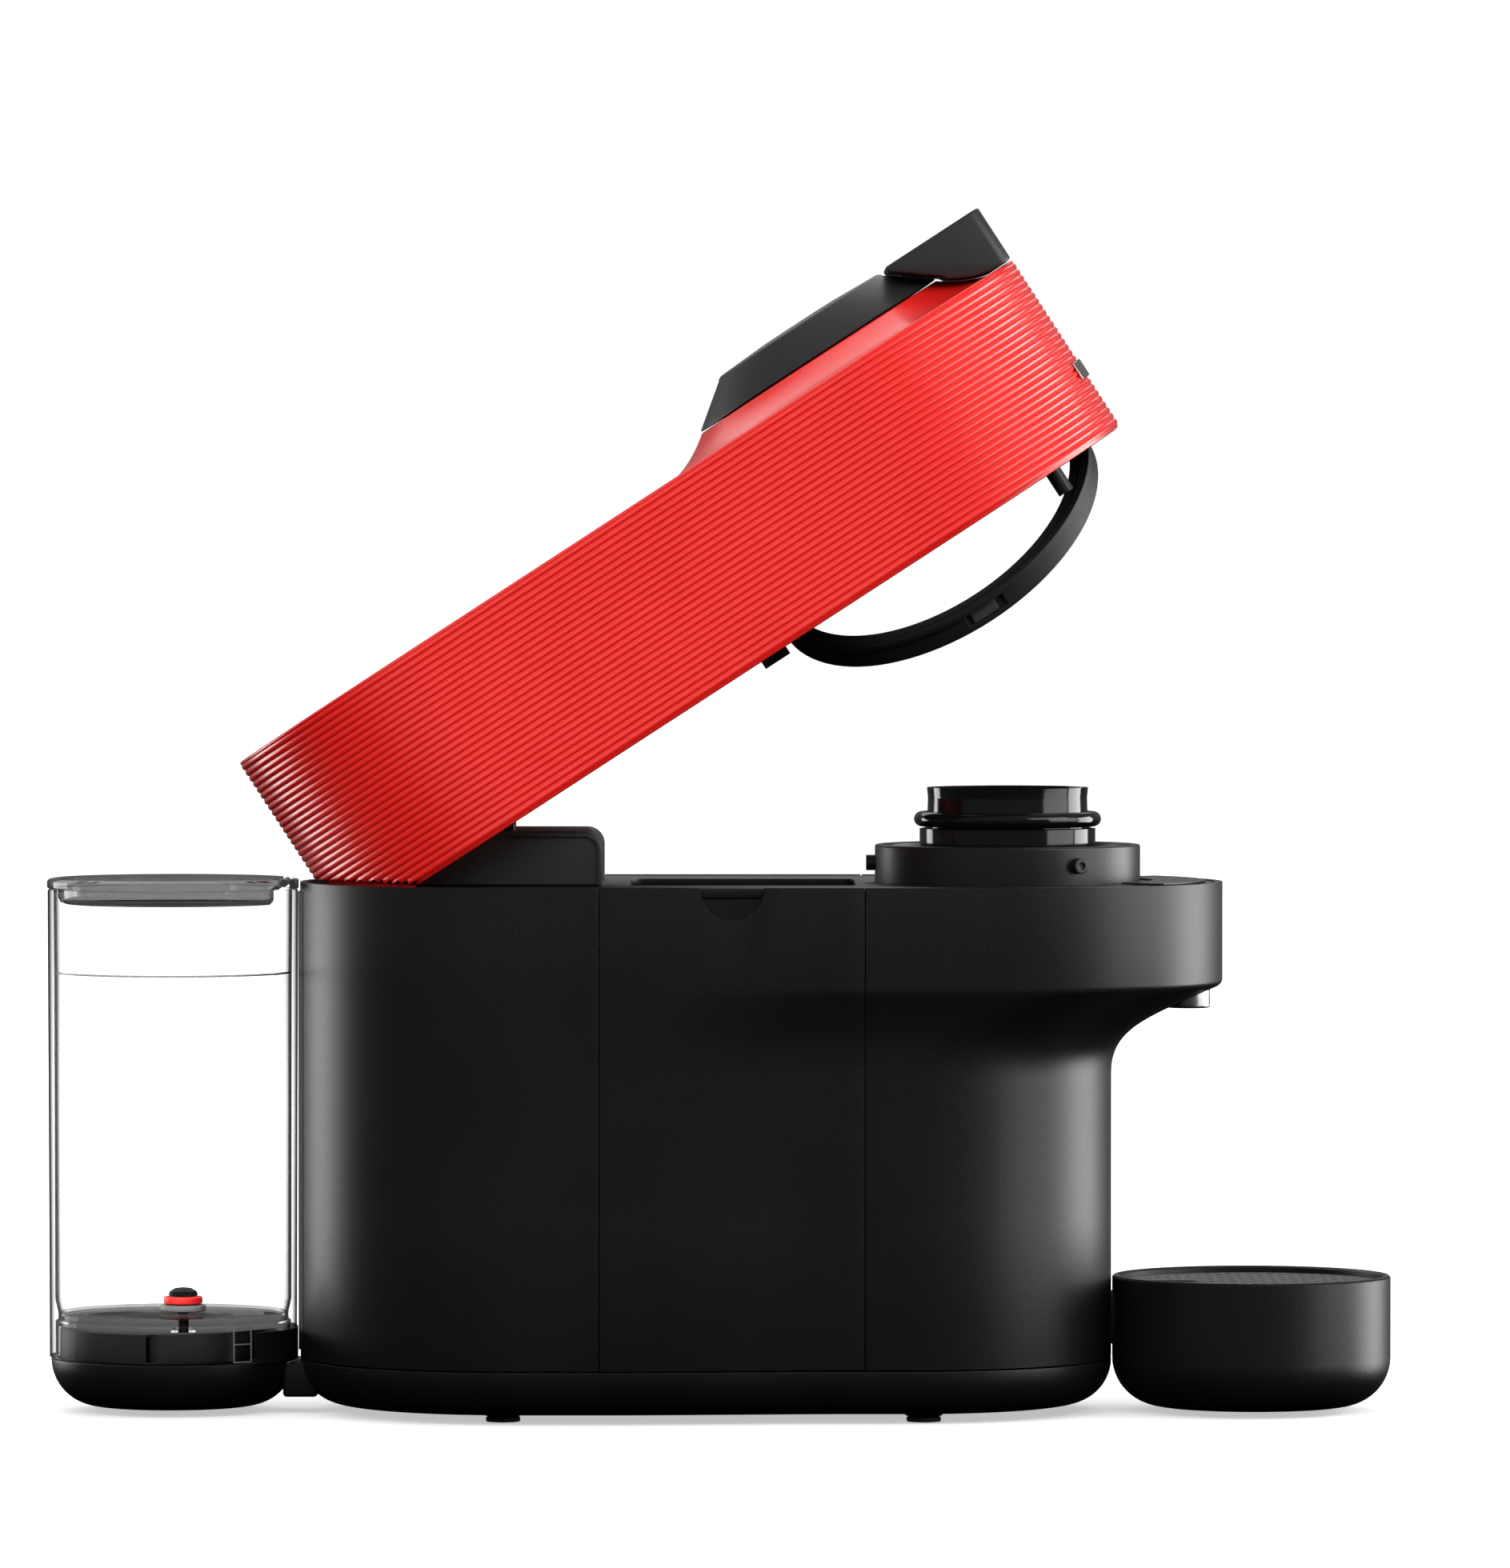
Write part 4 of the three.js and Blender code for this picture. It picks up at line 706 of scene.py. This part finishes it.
# ---- collar, cup and spout -----------------------------------------------------------
def make_brew_unit():
    bottom, top = collar_low.z, collar_high.z
    outline = rounded([
        (30, bottom), (42.1, bottom), (42.1, top), (39.3, top), (39.3, bottom + 3), (30, bottom + 3),
    ], 0.9)
    collar = new_object("collar_skin", turned(outline, FINE, True, BREW_X))
    finish(collar, SATIN_BLACK, ["capsule_collar"])
    for index in range(1, 4):
        low, high = box_mm(f"lock_pin_{index}")
        angle = (60, 180, 300)[index - 1]
        corners = [(0.01, 39.2), (2.5, 39.2), (2.5, 44.9), (1.0, 44.9), (1.0, 44.2), (0.01, 44.2)]
        tip = rounded(corners, 0.35)
        aim = Matrix.Rotation(math.radians(angle), 4, "Z") @ Matrix.Rotation(math.radians(90), 4, "Y")
        place = Matrix.Translation((BREW_X, 0, (low.z + high.z) / 2)) @ aim
        pin = new_object(f"lock_pin_skin_{index}", turned(tip, 32), place)
        finish(pin, SATIN_BLACK, [f"lock_pin_{index}"])
    cup_low, cup_high = box_mm("capsule_cup")
    bowl = arc(24.9, 0, -89, 24, 0, cup_high.z - 32 + 24.9)
    rim = cup_high.z
    cup_outline = [
        (0.2, cup_low.z), (26.9, cup_low.z), (27.9, cup_low.z + 1), (27.9, 185.3), (25.9, 185.6),
        (25.4, 190.8), (25.2, rim - 0.5), (25.6, rim), *bowl,
    ]
    cup = new_object("cup_skin", turned(cup_outline, FINE, False, BREW_X))
    finish(cup, GLOSS_BLACK, ["capsule_cup"])
    ring_low, ring_high = box_mm("cup_flange")
    middle = (ring_low.z + ring_high.z) / 2
    half = (ring_high.z - ring_low.z) / 2
    edge = [
        (26.2, ring_low.z), *arc(half, -90, 90, 16, 29.7 - half, middle), (26.2, ring_high.z),
    ]
    flange = new_object("flange_skin", turned(edge, FINE, True, BREW_X))
    finish(flange, GLOSS_BLACK, ["cup_flange"])
    low, high = box_mm("coffee_spout")
    x = (low.x + high.x) / 2
    tube = rounded([(4.5, low.z), (7, low.z), (7, high.z), (4.5, high.z)], 0.8)
    finish(new_object("spout_skin", turned(tube, 64, True, x)), STEEL, ["coffee_spout"])


# ---- tank ----------------------------------------------------------------------------
TANK_FLOOR = 29.5


def make_tank_vessel():
    top, bottom = tank_high.z, shell_low.z
    floor = TANK_FLOOR
    vessel = [
        (37.0, bottom), (39.2, bottom), (39.7, top - 0.6), (39.4, top), (37.8, top), (37.5, top - 0.6),
        (37.3, 137.6), (37.1, 36), (36.6, 33.4), (36.2, 31.8), (36.2, floor - 0.1), (37.0, floor - 0.6),
    ]
    tank = new_object("tank_skin", turned(vessel, FINE, True, TANK_X))
    finish(tank, CLEAR, ["tank_body"], angle=40)
    sheet = rounded([(0.3, floor), (36.15, floor), (36.15, floor + 2.2), (0.3, floor + 2.2)], 0.4)
    made = new_object("tank_floor", turned(sheet, FINE, True, TANK_X))
    finish(made, CLEAR_FLAT, [], body="tank")
    # painted shade: an opaque grey ring at the ledge draws the dark line that light bending in the clear
    # ledge makes
    ledge = [*arc(37.25, -178, -2, 90, TANK_X), *arc(36.7, -2, -178, 90, TANK_X)]
    made = new_object("tank_ledge_shade_line", prism(ledge, 139.3, 139.9))
    finish(made, FLANGE_GREY_AND_LEDGE_SHADE, [], body="tank")


def make_valve():
    floor = TANK_FLOOR
    low, high = box_mm("valve_seal")
    valve_x = (low.x + high.x) / 2
    spigot = rounded([(2.5, floor - 5), (4, floor - 5), (4, floor - 0.05), (2.5, floor - 0.05)], 0.4)
    made = new_object("tank_spigot", turned(spigot, 48, True, valve_x))
    finish(made, CLEAR, [], body="tank")
    for node, radius, look in (("valve_flange", 7.25, FLANGE_GREY_AND_LEDGE_SHADE), ("valve_seal", 6.15, SEAL_RED)):
        low, high = box_mm(node)
        washer = rounded([(2.5, low.z), (radius, low.z), (radius, high.z), (2.5, high.z)], 0.7)
        finish(new_object(node + "_skin", turned(washer, 64, True, valve_x)), look, [node])
    low, high = box_mm("valve_poppet")
    head = high.z - 2.6
    poppet = [
        (0.2, low.z), (1.7, low.z), (1.7, head), (4.5, head), (4.6, head + 0.4), (4.3, head + 1.3),
        (2.6, head + 2.3), (0.2, high.z),
    ]
    made = new_object("poppet_skin", turned(poppet, 48, False, valve_x))
    finish(made, PLINTH_BLACK, ["valve_poppet"])


def make_tank_rails():
    for side, name in ((-1, "tank_rail_near"), (1, "tank_rail_far")):
        y0, y1 = sorted((side * 9, side * 12))
        rail = new_object(name, solid_box((-141.2, y0, 34), (-137.6, y1, 139)))
        finish(rail, CLEAR, [], bevel=0.6, body="tank")


def make_tank_foot():
    """The dark band round the tank's foot, the outline of its latch and the rib under its floor."""
    band = [*arc(39.6, -46, 46, 40, TANK_X), *arc(39.3, 46, -46, 40, TANK_X)]
    made = new_object("tank_foot_band", prism(band, 17.2, 27))
    finish(made, PLINTH_BLACK, [], body="tank")
    start, end = -58.5, -48.5
    low, middle, high, line = 17.8, 23.4, 28.6, 0.35
    bars = [
        (start, end, low, low + line), (start, end, middle, middle + line), (start, end, high, high + line),
        (start, start + 0.5, low + line, high), (end - 0.5, end, low + line, high),
    ]
    for index, (a0, a1, z0, z1) in enumerate(bars):
        strip = [*arc(39.6, a0, a1, 10, TANK_X), *arc(39.3, a1, a0, 10, TANK_X)]
        made = new_object(f"latch_frame_{index + 1}", prism(strip, z0, z1))
        finish(made, LATCH_GREY, [], body="tank")
    rib = rounded([(9, 27.6), (36.6, 27.6), (36.6, TANK_FLOOR - 0.15), (9, TANK_FLOOR - 0.15)], 0.3)
    made = new_object("tank_floor_rib", turned(rib, FINE, True, TANK_X))
    finish(made, CLEAR_FLAT, [], body="tank")


def make_lid():
    edge = box_mm("tank_lid")[1].x
    base = tank_high.z + 0.3
    lid_outline = [
        (0.3, base - 5), (34.2, base - 5), (35.7, base - 4.4), (36.4, base - 3), (36.4, base),
        (39.5, base), (39.9, base + 0.4), (39.9, base + 2.3), (39.2, base + 3.0), (37.5, base + 3.3),
        (20, base + 3.5), (0.3, base + 3.6),
    ]
    lid = new_object("lid_skin", turned(lid_outline, FINE, False, TANK_X))
    carve(lid, new_object("past_edge", solid_box((edge, -60, 0), (edge + 60, 60, 400))))
    carve(lid, new_object("plug_edge", solid_box((edge - 3, -60, 100), (edge + 60, 60, base))))
    finish(lid, SMOKE, ["tank_lid"], angle=40)
    bar_low, bar_high = box_mm("lid_hinge_bar")
    bar_edge = [(x, y) for x, y in arc(39.9, -60, 60, 120, TANK_X) if x > bar_low.x]
    bar = new_object("lid_bar_skin", prism(bar_edge, bar_low.z, bar_high.z))
    finish(bar, SMOKE, ["lid_hinge_bar"], bevel=0.3)


def cup_section(radius, top, bottom, round_by, wall):
    outer = arc(round_by, -90, 0, 14, radius - round_by, bottom + round_by)
    inner = arc(round_by - wall, 0, -90, 12, radius - round_by, bottom + round_by)
    rim = [(radius, top - 0.6), (radius - 0.6, top), (radius - wall + 0.6, top), (radius - wall, top - 0.6)]
    return [(0.3, bottom), *outer, *rim, *inner, (0.3, bottom + wall)]


def make_dock():
    low, high = box_mm("tank_dock")
    section = cup_section(38.7, high.z, low.z, 15, WALL)
    dock = new_object("dock_skin", turned(section, FINE, False, TANK_X))
    finish(dock, MATTE_BLACK, ["tank_dock"])
    neck = new_object("dock_neck", solid_box((-138, -14, 5.5), (-127, 14, high.z - 0.6)))
    finish(neck, MATTE_BLACK, [], bevel=1.2, body="base")
    face = [(x, y) for x, y in arc(HALF_WIDTH + 0.1, 168, 192, 24, REAR_CENTRE)]
    strip = [*face, (tank_high.x + 0.5, -11), (tank_high.x + 0.5, 11)]
    made = new_object("tank_rest", prism(strip, 20.5, DECK - 3))
    finish(made, PLINTH_BLACK, [], body="base")


def make_plinth():
    """A disc cut back on the side toward the body, so that the tank can leave at a slant."""
    radius, shift = 35.9, 6.8
    outline = []
    for x, y in arc(radius, 0, 360, FINE, TANK_X)[:-1]:
        limit = TANK_X - shift + math.sqrt(max(radius ** 2 - y ** 2, 0))
        outline.append((min(x, limit), y))
    seal_low, seal_high = box_mm("dock_seal")
    socket = arc(8.2, 0, 360, 48, (seal_low.x + seal_high.x) / 2)[:-1]
    low, high = box_mm("tank_plinth")
    plinth = perforated("plinth_skin", outline, [socket], low.z, high.z, 0.6)
    finish(plinth, PLINTH_BLACK, ["tank_plinth"])


# ---- drip tray -----------------------------------------------------------------------
def make_tray():
    low, high = box_mm("drip_tray")
    section = cup_section(44.2, high.z, low.z, 15.5, WALL)
    tray = new_object("tray_skin", turned(section, FINE, False, TRAY_X))
    finish(tray, MATTE_BLACK, ["drip_tray"])
    for side in (-1, 1):
        y0, y1 = sorted((1.5 * side, 7.5 * side))
        hook = solid_box((119.6, y0, 22), (TRAY_X - 42.6, y1, 38))
        made = new_object(f"tray_hook_{'far' if side > 0 else 'near'}", hook)
        finish(made, MATTE_BLACK, [], bevel=0.4, body="tray")
    ledge = rounded([(39.5, 37.4), (41.9, 36.2), (41.9, 39.0), (39.5, 39.0)], 0.3)
    made = new_object("tray_ledge", turned(ledge, FINE, True, TRAY_X))
    finish(made, MATTE_BLACK, [], body="tray")


def make_grid():
    """Round holes in staggered rows, with an oblong slot for a finger."""
    radius = 41.3
    slot_x = TRAY_X - 27
    slot = [*arc(6, -90, 90, 12, slot_x + 4), *arc(6, 90, 270, 12, slot_x - 4)]
    holes = [slot]
    pitch, hole = 6.6, 2.1
    for row in range(-7, 8):
        for column in range(-8, 9):
            x = TRAY_X + (column + (row % 2) / 2) * pitch
            y = row * pitch * math.sqrt(3) / 2
            off_slot = abs(x - slot_x) > 10 + hole + 1 or abs(y) > 6 + hole + 1
            if math.hypot(x - TRAY_X, y) < radius - hole - 2 and off_slot:
                holes.append(arc(hole, 30, 390, 6, x, y)[:-1])
    rim = arc(radius, 0, 360, FINE, TRAY_X)[:-1]
    grid = perforated("grid_skin", rim, holes, grid_low.z, grid_high.z, 0.35)
    finish(grid, GRID_BLACK, ["drip_grid"])


# ---- head ----------------------------------------------------------------------------
HEAD_ARC = 72
RIBS = 28


def head_loop(radius_inset, v, clear_deck=False):
    """Plan of the head at one height; low rear points step in to clear the body."""
    loop = []
    centre_rear, centre_front = HALF_WIDTH, BREW_U
    radius = HALF_WIDTH - radius_inset
    front = arc(radius, -90, 90, HEAD_ARC, centre_front)
    rear = arc(radius, 90, 270, HEAD_ARC, centre_rear)
    for x, y in [*front, *rear]:
        if clear_deck:
            height = (HEAD @ Vector((x, y, v))).z
            if height < DECK + 0.75:
                away = Vector((x - min(max(x, centre_rear), centre_front), y))
                away = away.normalized() * (3.1 - min(radius_inset, 3.1))
                x, y = x - away.x, y - away.y
        loop.append((x, y, v))
    return loop


def circle_loop(radius, v):
    """A circle about the brewing axis with as many points as the head's plan."""
    front = arc(radius, -90, 90, HEAD_ARC, BREW_U)
    rear = arc(radius, 90, 270, HEAD_ARC, BREW_U)
    return [(x, y, v) for x, y in [*front, *rear]]


def crown_curve(raise_by, steps):
    """(radius, height) pairs on the crown, from its foot up to the cap."""
    result = []
    for i in range(steps + 1):
        t = i / steps
        radius = 60 * (1 - t) ** 2 + 2 * 52.2 * t * (1 - t) + 44.3 * t * t
        v = HEAD_HEIGHT * (1 - t) ** 2 + 2 * (HEAD_HEIGHT + 1.4) * t * (1 - t) + CROWN_TOP * t * t
        result.append((radius, v + raise_by))
    return result


def make_head_shell():
    wall, lip = 2.6, 3.9
    loops = [head_loop(lip, 0.2, True), head_loop(1.9, 0.0, True), head_loop(0.9, 0.25, True)]
    first, last = 1.2, HEAD_HEIGHT - 0.9
    pitch = (last - first) / RIBS
    depth = 0.5
    crest = ((0.0, 1.0), (0.1, 0.55), (0.25, 0.12), (0.42, 0.0), (0.6, 0.12), (0.78, 0.5), (0.9, 0.9))
    for rib in range(RIBS):
        for share, fall in crest:
            loops.append(head_loop(depth * fall, first + pitch * (rib + share), True))
    loops.append(head_loop(depth, last, True))
    for angle in range(0, 91, 15):
        a = math.radians(angle)
        loops.append(head_loop(0.15 + 0.8 * (1 - math.cos(a)), last + 0.1 + 0.8 * math.sin(a)))
    loops += [circle_loop(radius, v) for radius, v in crown_curve(0, 16)]
    loops += [circle_loop(43.6, CROWN_TOP + 0.02), circle_loop(36.4, CROWN_TOP)]
    loops += [circle_loop(36, CROWN_TOP - 0.4), circle_loop(36, CROWN_TOP - wall)]
    loops += [circle_loop(radius - 1, v) for radius, v in reversed(crown_curve(-wall, 6))]
    loops += [head_loop(wall, HEAD_HEIGHT - wall), head_loop(wall, lip + 20, True)]
    loops += [head_loop(wall, lip, True), head_loop(lip, lip, True)]
    shell = new_object("head_skin", skin(loops, wrap=True), HEAD)
    finish(shell, RED, ["head_shell"], angle=50)


CAP_TOP = 82.1


def make_lever_cap():
    top, under = CAP_TOP, CROWN_TOP + 0.5
    cap_outline = [
        (16.4, top - 2.5), (16.4, top + 0.5), (16.8, top + 0.8), (29.4, top + 0.15), (30.4, top - 0.3),
        (31.0, top - 1.0), (43.9, under + 0.6), (44.2, under + 0.1), (43.6, under), (41, under),
        (28.6, top - 2.6),
    ]
    finish(new_object("cap_skin", turned(cap_outline), BREW), LEVER_LIT_BLACK, ["lever_cap"], angle=35)


def make_brew_button():
    top = CAP_TOP + 0.9
    outline = [
        (0.2, top - 10), (5, top - 10), (5, top - 4.4), (15.6, top - 4.4), (16, top - 4),
        (16, top - 0.7), (15.6, top - 0.2), (14.9, top), (8, top - 0.25), (0.2, top - 0.3),
    ]
    finish(new_object("button_skin", turned(outline, FINE, False), BREW), GLOSS_BLACK, ["brew_button"])


def make_handle():
    """A straight grip whose underside follows the crown, with a root that meets the cap."""
    half, corner, grip_top = 27.0, 6.0, 82.45
    follow = [(r, v + 0.5) for r, v in reversed(crown_curve(0, 12)) if r > 46.6]
    loops = []
    for i in range(49):
        y = -half + 2 * half * i / 48
        over = max(abs(y) - (half - corner), 0)
        reach = 67.3 - (corner - math.sqrt(max(corner ** 2 - over ** 2, 0))) * 0.6
        section = [(32.4, grip_top), (32.2, 80.9), (45.9, 70.6)]
        section += [(min(x, reach - 0.05), v) for x, v in follow]
        section += [(reach, HEAD_HEIGHT + 0.55), (reach, grip_top)]
        loops.append([(x, y, v) for x, v in section])
    grip = new_object("handle_skin", skin(loops), BREW)
    finish(grip, LEVER_LIT_BLACK, ["lever_handle"], bevel=0.7, angle=35)
    root = new_object("handle_root", solid_box((36, -9, 71.4), (45, 9, 80.4)), BREW)
    cone = turned([(0.01, 66), (50.9, 66), (27.3, 84), (0.01, 84)], FINE, False)
    carve(root, new_object("cap_cone", cone, BREW))
    finish(root, LEVER_LIT_BLACK, [], body="lever")


def make_badge():
    low, high = 19.0, 25.0
    spread_by = 17
    outline = [
        *arc(HALF_WIDTH + 0.7, -spread_by, spread_by, 24, BREW_U),
        *arc(HALF_WIDTH - 0.1, spread_by, -spread_by, 24, BREW_U),
    ]
    badge = new_object("badge_skin", prism(outline, low, high), HEAD)
    finish(badge, CHROME, ["front_badge"], bevel=0.3)


# ---- locking ring --------------------------------------------------------------------
def make_ring():
    outer, inner, half = 57.0, 54.4, 4.5
    section = rounded([(inner, -half), (outer, -half), (outer, half), (inner, half)], 0.7)
    hoop = new_object("carrier_skin", turned(section), RING)
    pocket = [*arc(outer + 1, -97, -83, 8), *arc(outer - 1.2, -83, -97, 8)]
    carve(hoop, new_object("pocket", prism(pocket, -2.6, 2.2), RING))
    finish(hoop, RING_BLACK, ["ring_carrier"], bevel=0.2, angle=40)
    tab = [*arc(outer - 0.4, -95, -86, 8), *arc(outer - 1.3, -86, -95, 8)]
    made = new_object("ring_window", prism(tab, -2.2, 1.8), RING)
    finish(made, WINDOW_BLACK, [], bevel=0.15, body="ring")
    lip = [(outer - 0.1, 2.4), (outer + 0.9, 2.4), (outer + 0.9, half), (outer - 0.1, half)]
    step = turned(rounded(lip, 0.3))
    finish(new_object("carrier_lip", step, RING), RING_BLACK, [], body="ring")
    for side in (-1, 1):
        stub = rounded([(0.01, outer - 1), (2, outer - 1), (2, outer + 4.5), (0.01, outer + 4.5)], 0.3)
        aim = Matrix.Rotation(math.radians(90 * side), 4, "Y")
        name = "trunnion_front" if side > 0 else "trunnion_rear"
        made = new_object(name, turned(stub, 24), RING @ aim)
        finish(made, SATIN_BLACK, [], body="ring")
    lock_outer, lock_inner = 54.0, 50.5
    section = rounded([(lock_inner, -4.3), (lock_outer, -4.3), (lock_outer, 3.5), (lock_inner, 3.5)], 0.5)
    ring = new_object("lock_skin", turned(section), RING)
    finish(ring, GREY_BLACK, ["lock_ring"])
    for index, angle in enumerate((30, 150, 270)):
        outline = [*arc(lock_inner + 1, angle - 8, angle + 8, 8), *arc(43.9, angle + 8, angle - 8, 8)]
        lug = new_object(f"lock_lug_{index + 1}", prism(outline, -4.3, -2.3), RING)
        finish(lug, GREY_BLACK, [], bevel=0.3, body="lock")


make_camera()
make_world()
make_floor()
make_lights()
paint_frame()
make_casings()
make_seam_backing()
make_base_pan()
make_deck()
make_tower()
make_brew_unit()
make_tank_vessel()
make_valve()
make_tank_rails()
make_tank_foot()
make_lid()
let_light_by("tank_skin", "tank_floor", "tank_floor_rib", "tank_rail_near", "tank_rail_far")
let_light_by("lid_skin", "lid_bar_skin")
make_dock()
make_plinth()
make_tray()
make_grid()
make_head_shell()
make_lever_cap()
make_brew_button()
make_handle()
make_badge()
make_ring()
bpy.context.scene.view_settings.view_transform = "Standard"
